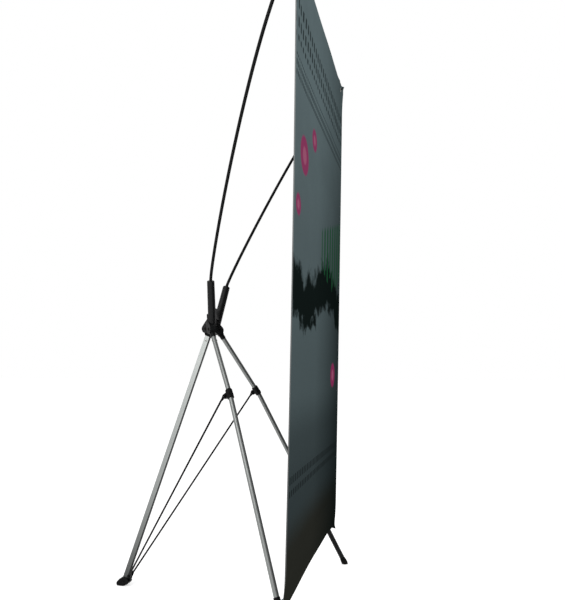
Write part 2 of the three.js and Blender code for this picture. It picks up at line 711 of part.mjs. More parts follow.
function rearProfile(grow, corner, from, to) {
  const shape = new THREE.Shape(rearSection(grow, corner).map(([y, x]) => new THREE.Vector2(x, y)));
  const geometry = closed(new THREE.ExtrudeGeometry(shape, { depth: to - from, bevelEnabled: false }));
  return geometry.translate(0, -REAR_TUBE_OFFSET, from);
}

const rearFloorDistance = (rearHinge.z - REAR_TUBE_OFFSET * Math.sin(REAR_TILT)) / Math.cos(REAR_TILT);
const rearTubeEnd = -rearFloorDistance + REAR_TUBE_STANDOFF;

function acrossX(radius, width, y, z) {
  return pinHole(radius, width).rotateZ(Math.PI / 2).translate(0, y, z);
}

function rearKnuckle() {
  const end = -REAR_KNUCKLE_LENGTH;
  const inset = -TUBE_WALL - FIT_GAP;
  return cut(
    join(
      sideSlab(hull(rearTongue(0)), REAR_TONGUE_WIDTH),
      rearProfile(inset, REAR_TUBE_CORNER / 2, end - REAR_SPIGOT_LENGTH, end + OVERRUN),
    ),
    acrossX(REAR_PIN_RADIUS + FIT_GAP, REAR_TONGUE_WIDTH, 0, 0),
    acrossX(RIVET_RADIUS + FIT_GAP, REAR_TONGUE_WIDTH, -REAR_TUBE_OFFSET, -REAR_RIVET_DISTANCE),
  );
}

const footRivetDistance = rearFloorDistance - FOOT_RIVET_HEIGHT / Math.cos(REAR_TILT);

function rearTube() {
  const start = -REAR_KNUCKLE_LENGTH - FIT_GAP;
  return cut(
    join(rearProfile(0, REAR_TUBE_CORNER, rearTubeEnd, start)),
    rearProfile(-TUBE_WALL, REAR_TUBE_CORNER / 2, rearTubeEnd - OVERRUN, start + OVERRUN),
    acrossX(RIVET_RADIUS + FIT_GAP, REAR_TONGUE_WIDTH, -REAR_TUBE_OFFSET, -REAR_RIVET_DISTANCE),
    acrossX(RIVET_RADIUS + FIT_GAP, REAR_TONGUE_WIDTH, -REAR_TUBE_OFFSET, -footRivetDistance),
  );
}

// From the rear leg's own drawing to the stand
const rearMatrix = new THREE.Matrix4().makeRotationX(REAR_TILT).setPosition(rearHinge);

function shoe() {
  const body = SHOE_SHARES.map(([along, up]) => [SHOE_SETBACK + along * SHOE_LENGTH, up * SHOE_HEIGHT]);
  const lug = SHOE_LUG_SHARES.map(([along, up]) => [
    SHOE_LUG_SETBACK + along * SHOE_LUG_LENGTH,
    SHOE_LUG_BASE + up * SHOE_LUG_HEIGHT,
  ]);
  const socket = rearProfile(FIT_GAP, REAR_TUBE_CORNER, rearTubeEnd - FIT_GAP, rearTubeEnd + CUT_SPAN)
    .applyMatrix4(rearMatrix);
  const rivetHole = acrossX(RIVET_RADIUS + FIT_GAP, SHOE_WIDTH, -REAR_TUBE_OFFSET, -footRivetDistance)
    .applyMatrix4(rearMatrix);
  return cut(
    join(sideSlab(body, SHOE_WIDTH), sideSlab(lug, REAR_TUBE_WIDTH)),
    socket,
    rivetHole,
    acrossX(BRACE_PIN_RADIUS + FIT_GAP, SHOE_WIDTH, BRACE_FOOT_SETBACK, BRACE_FOOT_HEIGHT),
  );
}

// A straight finger through an eyelet with a turned nose, from behind the banner
function hookRoute(start, through, turnedUp) {
  const front = through.clone();
  front.y -= HOOK_REACH;
  const nose = front.clone();
  nose.z += turnedUp * (HOOK_TURN_RADIUS + HOOK_NOSE);
  nose.y -= HOOK_TURN_RADIUS;
  return [start, ...roundedCorner(through, front, nose, HOOK_TURN_RADIUS, 4), nose];
}

function poleTip(side) {
  const nose = capNose(side);
  const lead = leaning(side, POLE_END_SPREAD, POLE_END_LEAN);
  const mouth = nose.clone().addScaledVector(lead, -CAP_LENGTH);
  const through = eyeletPlace(side, true, 0);
  through.z += HOOK_SHIFT;
  return cut(
    join(
      bar(mouth, nose, CAP_RADIUS, ROUND),
      ball(nose, CAP_RADIUS, ROUND),
      sweep(hookRoute(nose, through, 1), HOOK_RADIUS, SLIM),
    ),
    sweep(poleRoute(side, FIT_GAP, FIT_GAP), POLE_RADIUS + FIT_GAP, SMALL),
  );
}

function boot(side) {
  const atHeight = (height) => lowerPoint(side, height / Math.cos(LOWER_TILT));
  const eyelet = eyeletPlace(side, false, 0);
  eyelet.z -= HOOK_SHIFT;
  const hookHeight = eyelet.z;
  const along = lowerPoint(side, TIP_LENGTH).sub(lowerPoint(side, 0)).normalize();
  const centre = atHeight(hookHeight);
  const bottom = lowerPoint(side, TIP_LENGTH + FIT_GAP);
  const top = atHeight(BOOT_TOP_HEIGHT);
  const behind = eyelet.clone();
  behind.y += CAP_STANDOFF;
  const elbow = roundedCorner(centre, behind, eyelet, HOOK_TURN_RADIUS, 4);
  const route = [centre, ...elbow, ...hookRoute(elbow[elbow.length - 1], eyelet, -1).slice(1)];
  return cut(
    join(
      bar(bottom, top, BOOT_RADIUS, ROUND),
      bar(
        centre.clone().addScaledVector(along, -BOOT_RING / 2),
        centre.clone().addScaledVector(along, BOOT_RING / 2),
        BOOT_RING_RADIUS,
        ROUND,
      ),
      sweep(route, HOOK_RADIUS, SLIM),
    ),
    bar(
      bottom.clone().addScaledVector(along, -OVERRUN),
      top.clone().addScaledVector(along, OVERRUN),
      TUBE_RADIUS + FIT_GAP,
      FINE,
    ),
  );
}

function footTip(side) {
  const ground = lowerPoint(side, 0);
  const along = lowerPoint(side, TIP_LENGTH).sub(ground).normalize();
  const profile = [
    ...TIP_BULB_SHARES.map(([wide, high]) => [TIP_RADIUS * wide, TIP_LENGTH * high]),
    [TIP_NECK_RADIUS, TIP_LENGTH], [0, TIP_LENGTH],
  ];
  const bulb = aimed(turned(profile, ROUND), ground, along);
  const bore = bar(
    ground.clone().addScaledVector(along, TUBE_STANDOFF - FIT_GAP),
    ground.clone().addScaledVector(along, TIP_LENGTH + OVERRUN),
    TUBE_RADIUS + FIT_GAP,
    FINE,
  );
  const below = closed(new THREE.BoxGeometry(CUT_SPAN, CUT_SPAN, CUT_SPAN))
    .translate(ground.x, ground.y, -CUT_SPAN / 2);
  return cut(join(bulb), bore, below);
}

// Stations of the banner's grid, close together around the eyelets
function stations(length, cells) {
  const flat = GROMMET_FLANGE_RADIUS + GROMMET_FLAT;
  const start = [0, GROMMET_INSET - flat, GROMMET_INSET + flat, GROMMET_INSET + flat + DIMPLE_REACH];
  const reach = length - 2 * start[3];
  const middle = Array.from({ length: cells - 7 }, (unused, i) => start[3] + (reach * (i + 1)) / (cells - 6));
  return [...start, ...middle, ...start.map((place) => length - place).reverse()];
}

// The banner hangs flat, its ends drawn back to the hooks and its corners flaring forward
function bannerSheet() {
  const across = stations(BANNER_WIDTH, BANNER_COLUMNS);
  const upward = stations(BANNER_HEIGHT, BANNER_ROWS);
  const geometry = closed(new THREE.BoxGeometry(
    BANNER_COLUMNS,
    BANNER_THICKNESS,
    BANNER_ROWS,
    BANNER_COLUMNS,
    1,
    BANNER_ROWS,
  ));
  const seat = across[2];
  const points = geometry.attributes.position;
  for (let i = 0; i < points.count; i += 1) {
    const x = across[Math.round(points.getX(i) + BANNER_COLUMNS / 2)];
    const z = upward[Math.round(points.getZ(i) + BANNER_ROWS / 2)];
    const low = z < BANNER_HEIGHT / 2;
    const fromSide = Math.min(x, BANNER_WIDTH - x);
    const fromEnd = Math.min(z, BANNER_HEIGHT - z);
    const off = (2 * x) / BANNER_WIDTH - 1;
    const rise = z / BANNER_HEIGHT;
    const freeX = Math.max(0, 1 - ((2 * x - BANNER_WIDTH) / (BANNER_WIDTH - 2 * seat)) ** 2);
    const freeZ = Math.max(0, 1 - ((2 * z - BANNER_HEIGHT) / (BANNER_HEIGHT - 2 * seat)) ** 2);
    const near = Math.max(0, 1 - Math.max(0, fromEnd - seat) / PULL_REACH) ** 2;
    const dimpled = Math.min(fromSide, fromEnd) > 0 && Math.max(fromSide, fromEnd) <= seat ? 1 : 0;
    const curl = fromSide > 0 ? 0 : SIDE_CURL * near + (fromEnd > 0 ? 0 : CORNER_CURL);
    const pull = near * (low ? FOOT_PULL : HEAD_PULL) + dimpled * (low ? FOOT_DIMPLE : HEAD_DIMPLE);
    const crease = CREASE_DEPTH * Math.cos(CREASE_WAVES * Math.PI * off) * near * freeX;
    const left = 1 + Math.min(off, 0);
    const arch = off < 0 ? left * left * (3 - 2 * left) : 1 - off ** BOTTOM_POWER;
    const lift = dimpled ? 0 : BOTTOM_EDGE_RISE * arch;
    const draw = SIDE_EDGE_DRAW * freeZ * (1 - freeX) * Math.sign(-off);
    points.setXYZ(
      i,
      x - BANNER_WIDTH / 2 + draw,
      points.getY(i) + pull + crease - MIDDLE_BOW * freeZ - curl,
      z + lift * (1 - rise) ** END_POWER - TOP_EDGE_SAG * (1 - off ** TOP_POWER) * rise ** END_POWER,
    );
  }
  const holes = EYELETS.map(([, place]) => pinHole(GROMMET_BARREL_RADIUS + FIT_GAP, OVERRUN)
    .translate(place.x, place.y, place.z));
  return cut(join(geometry), ...holes);
}

function grommet() {
  const inner = BANNER_THICKNESS / 2 + FIT_GAP;
  const outer = inner + GROMMET_FLANGE;
  return turned([
    [GROMMET_HOLE_RADIUS, -outer], [GROMMET_FLANGE_RADIUS, -outer], [GROMMET_FLANGE_RADIUS, -inner],
    [GROMMET_BARREL_RADIUS, -inner], [GROMMET_BARREL_RADIUS, inner], [GROMMET_FLANGE_RADIUS, inner],
    [GROMMET_FLANGE_RADIUS, outer], [GROMMET_HOLE_RADIUS, outer], [GROMMET_HOLE_RADIUS, -outer],
  ], SMALL).rotateX(Math.PI / 2);
}

function addHub() {
  addPiece(stand, 'hub_core', geometryOf(hubCore()), blackPlastic);
  for (const [word, side] of SIDES) {
    const pin = headed(
      FRONT_TONGUE_WIDTH + 2 * (RUN_GAP + FRONT_EAR),
      FRONT_PIN_RADIUS,
      FRONT_PIN_RADIUS + PIN_HEAD_OVER,
      PIN_HEAD,
    );
    addPiece(stand, `hub_pin_front_${word}`, pin.applyMatrix4(hingeMatrix(side)), blackSteel);
  }
  const rearPin = headed(
    REAR_TONGUE_WIDTH + 2 * (RUN_GAP + REAR_EAR),
    REAR_PIN_RADIUS,
    REAR_PIN_RADIUS + PIN_HEAD_OVER,
    PIN_HEAD,
  ).rotateZ(Math.PI / 2).translate(rearHinge.x, rearHinge.y, rearHinge.z);
  addPiece(stand, 'hub_pin_rear', rearPin, blackSteel);
}

function addPoles() {
  for (const [word, side] of SIDES) {
    addPiece(stand, `pole_${word}`, sweep(poleRoute(side, 0, 0), POLE_RADIUS, SMALL), fibreglass);
    addPiece(stand, `pole_tip_${word}`, geometryOf(poleTip(side)), blackPlastic);
  }
}

function addFrontLegs() {
  for (const [word, side] of SIDES) {
    const leg = new THREE.Group();
    leg.applyMatrix4(legMatrix(side));
    stand.add(leg);
    addPiece(leg, `knuckle_front_${word}`, geometryOf(frontKnuckle()), blackPlastic);
    addPiece(leg, `front_leg_${word}`, geometryOf(frontTube()), aluminium);
    addPiece(leg, `collar_${word}`, geometryOf(collar(side)), blackPlastic);
    const rivet = headed(TUBE_RADIUS * 2, RIVET_RADIUS, RIVET_HEAD_RADIUS, RIVET_HEAD);
    addPiece(leg, `rivet_front_${word}`, rivet.translate(0, 0, -FRONT_RIVET_DISTANCE), plated);
    addPiece(stand, `leg_sleeve_${word}`, geometryOf(boot(side)), blackPlastic);
    addPiece(stand, `foot_tip_${word}`, geometryOf(footTip(side)), blackRubber);
  }
}

function addRearLeg() {
  const leg = new THREE.Group();
  leg.applyMatrix4(rearMatrix);
  stand.add(leg);
  addPiece(leg, 'knuckle_rear', geometryOf(rearKnuckle()), blackPlastic);
  addPiece(leg, 'rear_leg', geometryOf(rearTube()), aluminium);
  const rivet = headed(REAR_TONGUE_WIDTH, RIVET_RADIUS, RIVET_HEAD_RADIUS, RIVET_HEAD).rotateZ(Math.PI / 2);
  addPiece(leg, 'rivet_rear', rivet.translate(0, -REAR_TUBE_OFFSET, -REAR_RIVET_DISTANCE), plated);
  const footRivet = headed(SHOE_WIDTH, RIVET_RADIUS, RIVET_HEAD_RADIUS, RIVET_HEAD).rotateZ(Math.PI / 2);
  addPiece(leg, 'foot_rivet', footRivet.translate(0, -REAR_TUBE_OFFSET, -footRivetDistance), blackSteel);
  addPiece(stand, 'rear_foot', geometryOf(shoe()), blackPlastic);
}

function addBraces() {
  for (const [word, side] of SIDES) {
    addPiece(stand, `brace_${word}`, geometryOf(brace(side)), blackSteel);
    addPiece(stand, `brace_rivet_${word}`, braceRivet(side), blackSteel);
  }
  const pin = headed(
    2 * (braceFootX + EYE_GAP) + EYE_THICKNESS,
    BRACE_PIN_RADIUS,
    BRACE_PIN_HEAD_RADIUS,
    BRACE_PIN_HEAD,
  ).rotateZ(Math.PI / 2).translate(0, BRACE_FOOT_SETBACK, BRACE_FOOT_HEIGHT);
  addPiece(stand, 'brace_foot_pin', pin, blackSteel);
}

function addBanner() {
  const frame = new THREE.Group();
  frame.position.z = BANNER_FOOT_HEIGHT;
  frame.rotation.x = bannerTurn;
  stand.add(frame);
  addPiece(frame, 'banner', geometryOf(bannerSheet()), print);
  for (const [word, place] of EYELETS) {
    addPiece(frame, `grommet_${word}`, grommet().translate(place.x, place.y, place.z), plated);
  }
}

addHub();
addPoles();
addFrontLegs();
addRearLeg();
addBraces();
addBanner();

const box = new THREE.Box3().setFromObject(stand, true);
stand.position.y = -(box.min.y + box.max.y) / 2;
stand.updateMatrixWorld(true);

export default stand;
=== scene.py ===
import json
import math

import bmesh
import bpy
from bpy.props import FloatProperty, FloatVectorProperty, IntProperty, PointerProperty
from bpy.types import NodeSocket, Operator, Panel, PropertyGroup
from mathutils import Matrix, Vector, geometry, noise


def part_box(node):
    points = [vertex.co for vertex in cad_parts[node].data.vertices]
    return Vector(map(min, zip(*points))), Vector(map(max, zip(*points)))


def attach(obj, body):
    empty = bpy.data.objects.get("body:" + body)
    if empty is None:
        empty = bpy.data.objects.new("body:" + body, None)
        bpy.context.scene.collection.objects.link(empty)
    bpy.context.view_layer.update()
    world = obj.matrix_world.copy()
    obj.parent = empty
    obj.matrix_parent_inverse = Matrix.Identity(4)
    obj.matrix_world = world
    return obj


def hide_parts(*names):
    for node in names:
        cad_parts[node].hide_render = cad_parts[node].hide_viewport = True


bl_info = {
    "name": "X Banner Stand",
    "version": (1, 0, 0),
    "blender": (4, 5, 0),
    "location": "View3D > Sidebar > Banner Stand",
    "description": "Dresses the packed banner stand: sheet, poles, tubes, mouldings and studio",
    "category": "Object",
}

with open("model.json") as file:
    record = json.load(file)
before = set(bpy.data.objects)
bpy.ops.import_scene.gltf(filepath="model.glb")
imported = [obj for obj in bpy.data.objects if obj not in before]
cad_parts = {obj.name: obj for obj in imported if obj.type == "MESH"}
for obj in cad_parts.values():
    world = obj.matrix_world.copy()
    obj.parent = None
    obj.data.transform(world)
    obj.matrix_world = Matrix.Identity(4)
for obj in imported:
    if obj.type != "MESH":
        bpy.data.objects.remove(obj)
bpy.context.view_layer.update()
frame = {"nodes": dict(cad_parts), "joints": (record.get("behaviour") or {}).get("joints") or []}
SIDES = (("left", -1.0), ("right", 1.0))
UP = Vector((0.0, 0.0, 1.0))
FULL_TURN = 2 * math.pi


def joint(name):
    return next(entry for entry in frame["joints"] if entry["name"] == name)


def centre(node):
    low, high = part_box(node)
    return (low + high) / 2


# The frame lies shifted along Y from the banner's foot; the rear hinge's place tells how far
REAR_HINGE_BEHIND = 0.3865
STAND_SHIFT = joint("rear_leg_fold")["pos_m"][1] - REAR_HINGE_BEHIND

# The camera that was fitted to the photograph, in its pixels
PHOTO_HEIGHT = 600
FOCAL_PIXELS = 534.93
SHIFT_PIXELS = 50.92


class BannerSizes(PropertyGroup):
    """Sizes and colours of the printed sheet"""

    width: FloatProperty(name="Width", description="Cut width of the sheet", default=0.8, unit="LENGTH")
    height: FloatProperty(name="Height", description="Cut height of the sheet", default=1.8, unit="LENGTH")
    thickness: FloatProperty(
        name="Thickness", description="Thickness of the coated cloth", default=0.0008, unit="LENGTH")
    foot_height: FloatProperty(
        name="Foot height", description="Height of the bottom corners", default=0.142, unit="LENGTH")
    lean: FloatProperty(
        name="Lean", description="How far the top stands before the bottom", default=0.038, unit="LENGTH")
    eyelet_inset: FloatProperty(
        name="Eyelet inset", description="From an edge to an eyelet's centre", default=0.022, unit="LENGTH")
    bottom_rise: FloatProperty(
        name="Bottom rise", description="How far the bottom edge is drawn up", default=0.02, unit="LENGTH")
    top_sag: FloatProperty(
        name="Top sag", description="How far the top edge hangs down", default=0.006, unit="LENGTH")
    side_draw: FloatProperty(
        name="Side draw", description="How far the side edges are drawn in", default=0.009, unit="LENGTH")
    crease: FloatProperty(
        name="Crease", description="Height of the creases at the eyelets", default=0.0024, unit="LENGTH")
    top_colour: FloatVectorProperty(
        name="Top colour", description="Print colour at the top", default=(0.132, 0.178, 0.188),
        subtype="COLOR")
    low_colour: FloatVectorProperty(
        name="Low colour", description="Print colour at the bottom", default=(0.024, 0.025, 0.0205),
        subtype="COLOR")
    accent: FloatVectorProperty(
        name="Accent", description="Colour of the discs", default=(0.3, 0.028, 0.115), subtype="COLOR")
    second_accent: FloatVectorProperty(
        name="Second accent", description="Colour of the bars", default=(0.012, 0.075, 0.03),
        subtype="COLOR")
    back_colour: FloatVectorProperty(
        name="Back colour", description="Unprinted back of the sheet", default=(0.15, 0.153, 0.154),
        subtype="COLOR")


class PoleSizes(PropertyGroup):
    """Sizes of the bowed poles, their sleeves and their end caps"""

    radius: FloatProperty(
        name="Radius", description="Radius of a pole", default=0.0052, unit="LENGTH")
    sleeve_foot: FloatVectorProperty(
        name="Sleeve foot", description="Foot of the right sleeve, from the banner's plane",
        default=(0.0212, 0.359, 0.946), subtype="XYZ", unit="LENGTH")
    sleeve_length: FloatProperty(
        name="Sleeve length", description="Length of a sleeve", default=0.15, unit="LENGTH")
    seat: FloatProperty(
        name="Seat", description="Height of a pole's foot in its sleeve", default=0.022, unit="LENGTH")
    spread: FloatProperty(
        name="Spread", description="Outward slope of a sleeve", default=math.radians(20.6), subtype="ANGLE")
    lean: FloatProperty(
        name="Lean", description="Forward slope of a sleeve", default=math.radians(6.7), subtype="ANGLE")
    end_spread: FloatProperty(
        name="End spread", description="Outward slope at the cap", default=math.radians(14.8),
        subtype="ANGLE")
    end_lean: FloatProperty(
        name="End lean", description="Forward slope at the cap", default=math.radians(36.4),
        subtype="ANGLE")
    start_pull: FloatProperty(
        name="Start pull", description="Stiffness of the bow at the sleeve", default=0.06, unit="LENGTH")
    end_pull: FloatProperty(
        name="End pull", description="Stiffness of the bow at the cap", default=0.22, unit="LENGTH")
    cap_radius: FloatProperty(
        name="Cap radius", description="Radius of an end cap", default=0.0068, unit="LENGTH")
    cap_length: FloatProperty(
        name="Cap length", description="Length of an end cap", default=0.026, unit="LENGTH")
    finger_radius: FloatProperty(
        name="Finger radius", description="Radius of a cap's finger", default=0.0022, unit="LENGTH")
    steps: IntProperty(name="Steps", description="Steps along a pole's bow", default=64)


class FinishSettings(PropertyGroup):
    """Blacks of the mouldings and levels of the tubes"""

    hub_black: FloatVectorProperty(
        name="Hub black", description="Hub and pole caps", default=(0.0042, 0.0046, 0.0048),
        subtype="COLOR")
    leg_black: FloatVectorProperty(
        name="Leg black", description="Knuckles, collars and lower sleeves",
        default=(0.0028, 0.003, 0.0031), subtype="COLOR")
    shoe_black: FloatVectorProperty(
        name="Shoe black", description="Rear knuckle and shoe", default=(0.0018, 0.0019, 0.0019),
        subtype="COLOR")
    front_tube: FloatProperty(name="Front tube", description="Level of the front tubes", default=0.245)
    # Painted light and shade: the left tube is made lighter and the right one darker by this much
    painted_side_shading: FloatProperty(
        name="Side tube", description="Added on the left, taken off on the right", default=0.02)
    rear_tube: FloatProperty(name="Rear tube", description="Level of the rear tube's top", default=0.61)
    # Painted shade: the rear tube's colour at its foot, as a share of its top
    rear_foot: FloatProperty(name="Rear foot", description="Share of it at its foot", default=0.15)


class StageSettings(PropertyGroup):
    """Camera and studio"""

    camera_place: FloatVectorProperty(
        name="Camera", description="Its place from the banner's plane",
        default=(-1.75448, -0.36548, 0.79299), subtype="XYZ", unit="LENGTH")
    camera_yaw: FloatProperty(
        name="Yaw", description="View direction from +X towards +Y", default=0.265, subtype="ANGLE")
    camera_pitch: FloatProperty(
        name="Pitch", description="View direction above the horizon", default=0.030, subtype="ANGLE")
    camera_roll: FloatProperty(
        name="Roll", description="Turn about the view direction", default=-0.0019, subtype="ANGLE")
    focal_length: FloatProperty(
        name="Focal length", description="Focal length in image heights",
        default=FOCAL_PIXELS / PHOTO_HEIGHT)
    frame_shift: FloatProperty(
        name="Frame shift", description="Upward shift in image heights",
        default=SHIFT_PIXELS / PHOTO_HEIGHT)
    key_power: FloatProperty(
        name="Key power", description="Power of the large lamp", default=62.0, unit="POWER")
    fill_power: FloatProperty(
        name="Fill power", description="Power of the side lamp", default=22.0, unit="POWER")
    sky: FloatProperty(name="Sky", description="Strength of the studio's even light", default=0.62)
    floor_glow: FloatProperty(
        name="Floor glow", description="Light that the floor adds where it is seen", default=0.55)


class StandSettings(PropertyGroup):
    """Everything that the panel shows"""

    banner: PointerProperty(type=BannerSizes)
    poles: PointerProperty(type=PoleSizes)
    finish: PointerProperty(type=FinishSettings)
    stage: PointerProperty(type=StageSettings)


# Material building
class Recipe:
    """A node material under construction, with its object coordinates and its UV map"""

    def __init__(self, name):
        self.material = bpy.data.materials.new(name)
        self.material.use_nodes = True
        self.nodes = self.material.node_tree.nodes
        self.links = self.material.node_tree.links
        self.surface = self.nodes["Principled BSDF"]
        coordinates = self.nodes.new("ShaderNodeTexCoord")
        self.place = coordinates.outputs["Object"]
        self.flat = coordinates.outputs["UV"]

    def add(self, kind, inputs=None, **options):
        """A new node with its options set and its inputs linked or filled"""
        made = self.nodes.new(kind)
        for key, value in options.items():
            setattr(made, key, value)
        for key, value in (inputs or {}).items():
            self.feed(made, key, value)
        return made

    def feed(self, made, key, value):
        if isinstance(value, NodeSocket):
            self.links.new(value, made.inputs[key])
        else:
            made.inputs[key].default_value = value

    def set(self, **values):
        """Feeds the surface shader, whose socket names have a space for each underscore here"""
        for key, value in values.items():
            self.feed(self.surface, key.replace("_", " "), value)

    def noise(self, scale, detail=2.0, rough=0.5, vector=None):
        return self.add("ShaderNodeTexNoise", {
            "Vector": vector or self.place, "Scale": scale, "Detail": detail, "Roughness": rough,
        }).outputs["Fac"]

    def stretched(self, scale, turn=(0.0, 0.0, 0.0), source=None):
        """Turned and scaled coordinates, the object's own unless others are given"""
        return self.add("ShaderNodeMapping", {
            "Vector": source or self.place, "Rotation": turn, "Scale": scale,
        }).outputs["Vector"]

    def height(self):
        return self.add("ShaderNodeSeparateXYZ", {"Vector": self.place}).outputs["Z"]

    def span(self, value, low, high, to_low, to_high):
        """Maps the range from low to high to another one, held at its ends"""
        return self.add("ShaderNodeMapRange", {
            "Value": value, "From Min": low, "From Max": high, "To Min": to_low, "To Max": to_high,
        }).outputs["Result"]

    def vary(self, value, to_low, to_high):
        """Maps the usual spread of a noise, from 0.3 to 0.7, to a range"""
        return self.span(value, 0.3, 0.7, to_low, to_high)

    def rising(self, value, low, high):
        return self.span(value, low, high, 0.0, 1.0)

    def falling(self, value, low, high):
        return self.span(value, low, high, 1.0, 0.0)

    def calculate(self, operation, first, second=0.0):
        return self.add("ShaderNodeMath", {0: first, 1: second}, operation=operation).outputs["Value"]

    def times(self, first, second):
        return self.calculate("MULTIPLY", first, second)

    def plus(self, first, second):
        return self.calculate("ADD", first, second)

    def wave(self, place, turn_per_metre):
        return self.calculate("SINE", self.times(place, turn_per_metre))

    def mix(self, share, first, second):
        made = self.add("ShaderNodeMix", data_type="RGBA")
        self.feed(made, 0, share)
        for index, value in ((6, first), (7, second)):
            self.feed(made, index, value if isinstance(value, NodeSocket) else (*value, 1.0))
        return made.outputs[2]

    def bump(self, height, depth, strength=1.0, under=None):
        """A normal for a height that is a share of a depth in metres, over another bump's normal"""
        inputs = {"Height": height, "Distance": depth, "Strength": strength}
        if under is not None:
            inputs["Normal"] = under
        return self.add("ShaderNodeBump", inputs).outputs["Normal"]

    def edges(self, low, high):
        """A mask of the convex edges"""
        return self.rising(self.add("ShaderNodeNewGeometry").outputs["Pointiness"], low, high)


def scaled(colour, level):
    return tuple(value * level for value in colour)


WORN_BLACK = (0.022, 0.023, 0.024)
RUBBER_BLACK = (0.0035, 0.0034, 0.0032)
FLOOR_DIRT = (0.02, 0.0185, 0.0165)
PAINT_BLACK = (0.003, 0.0031, 0.0032)
CHIPPED_PAINT = (0.05, 0.05, 0.048)
FIBRE_BLACK = (0.002, 0.0021, 0.0022)
FIBRE_GRAIN = (0.006, 0.0063, 0.0066)
ALUMINIUM_TINT = (1.0, 1.045, 1.02)
STRIP_SHADE = (0.008, 0.008, 0.008)
NICKEL = (0.3, 0.295, 0.28)
TARNISH = (0.15, 0.135, 0.11)
HUB_GLOSS, LEG_GLOSS, SHOE_GLOSS = 0.2, 0.1, 0.07


def moulded_plastic(name, black, gloss):
    """Fine-grained black moulding, a little greyer in clouds and worn paler along its edges"""
    recipe = Recipe(name)
    cloud = recipe.noise(22.0, 3.0)
    fine = recipe.noise(900.0, 2.0)
    handled = recipe.noise(95.0, 4.0, 0.65)
    colour = recipe.mix(recipe.span(cloud, 0.35, 0.7, 0.0, 0.6), black, scaled(black, 1.9))
    worn = recipe.times(recipe.edges(0.53, 0.6), recipe.span(handled, 0.4, 0.65, 0.1, 0.8))
    recipe.set(
        Base_Color=recipe.mix(worn, colour, WORN_BLACK),
        Roughness=recipe.vary(handled, 0.34, 0.5),
        Specular_IOR_Level=gloss,
        Normal=recipe.bump(fine, 0.00025, 0.35),
    )
    return recipe.material


def foot_rubber():
    """Matt black rubber, dusty where it meets the floor"""
    recipe = Recipe("foot rubber")
    dust = recipe.noise(60.0, 5.0, 0.7)
    low = recipe.falling(recipe.height(), 0.001, 0.022)
    dirt = recipe.times(low, recipe.span(dust, 0.4, 0.62, 0.0, 0.8))
    recipe.set(
        Base_Color=recipe.mix(dirt, RUBBER_BLACK, FLOOR_DIRT),
        Specular_IOR_Level=0.06,
        Roughness=recipe.vary(dust, 0.62, 0.82),
        Normal=recipe.bump(recipe.noise(700.0, 3.0), 0.0003, 0.4),
    )
    return recipe.material


def painted_rod():
    """Satin black paint with small chips"""
    recipe = Recipe("satin black rod")
    peel = recipe.noise(420.0, 2.0)
    chip = recipe.rising(recipe.noise(140.0, 6.0, 0.75), 0.68, 0.71)
    recipe.set(
        Base_Color=recipe.mix(chip, PAINT_BLACK, CHIPPED_PAINT),
        Roughness=recipe.vary(peel, 0.3, 0.44),
        Specular_IOR_Level=0.08,
        Normal=recipe.bump(peel, 0.0002, 0.25),
    )
    return recipe.material


def pole_fibre():
    """Black fibreglass with a grain along the pole"""
    recipe = Recipe("black fibreglass")
    grain = recipe.noise(1.0, 3.0, vector=recipe.stretched((900.0, 900.0, 14.0)))
    haze = recipe.noise(12.0, 3.0)
    recipe.set(
        Base_Color=recipe.mix(recipe.rising(grain, 0.35, 0.75), FIBRE_BLACK, FIBRE_GRAIN),
        Roughness=recipe.vary(haze, 0.26, 0.42),
        Specular_IOR_Level=0.12,
        Normal=recipe.bump(grain, 0.00015, 0.3),
    )
    return recipe.material


# Heights between which a tube's colour darkens towards its foot as painted shade, and how far inside its
# plane a strip of painted shade starts and is full
FOOT_SHADE_LOW, FOOT_SHADE_HIGH = 0.05, 0.85
STRIP_SHADE_START, STRIP_SHADE_FULL = 0.0034, 0.0022


def anodised_tube(name, along, level, foot_shade_level=1.0, shaded=None):
    """Satin aluminium, drawn along a direction, darkened towards its foot and beyond a plane by painted
    shade
    """
    recipe = Recipe(name)
    turn = along.to_track_quat("Z", "Y").inverted().to_euler()
    lines = recipe.noise(1.0, 4.0, 0.6, vector=recipe.stretched((1400.0, 1400.0, 5.0), turn))
    cloud = recipe.noise(9.0, 4.0, 0.6)
    rubbed = recipe.noise(1.0, 5.0, 0.7, vector=recipe.stretched((260.0, 260.0, 40.0), turn))
    scuff = recipe.span(rubbed, 0.66, 0.72, 0.0, 0.5)
    pale = scaled(ALUMINIUM_TINT, level)
    colour = recipe.mix(recipe.vary(cloud, 0.0, 0.5), pale, scaled(pale, 0.8))
    # Painted shade: the colour falls towards the foot level, a share of the tube's level, lower down the
    # tube
    foot_shade = recipe.falling(recipe.height(), FOOT_SHADE_LOW, FOOT_SHADE_HIGH)
    colour = recipe.mix(foot_shade, colour, scaled(pale, foot_shade_level))
    if shaded is not None:
        # Painted shade: a dark strip just inside the plane of the tube's front face
        facing, plane = shaded
        depth = recipe.add("ShaderNodeVectorMath", {0: recipe.place, 1: facing}, operation="DOT_PRODUCT")
        start, full = plane - STRIP_SHADE_START, plane - STRIP_SHADE_FULL
        under = recipe.span(depth.outputs["Value"], start, full, 0.0, 0.94)
        colour = recipe.mix(under, colour, STRIP_SHADE)
    recipe.set(
        Base_Color=recipe.mix(scuff, colour, scaled(pale, 0.55)),
        Metallic=0.8,
        Roughness=recipe.span(lines, 0.25, 0.75, 0.34, 0.5),
        Normal=recipe.bump(lines, 0.00006, 0.5),
    )
    return recipe.material


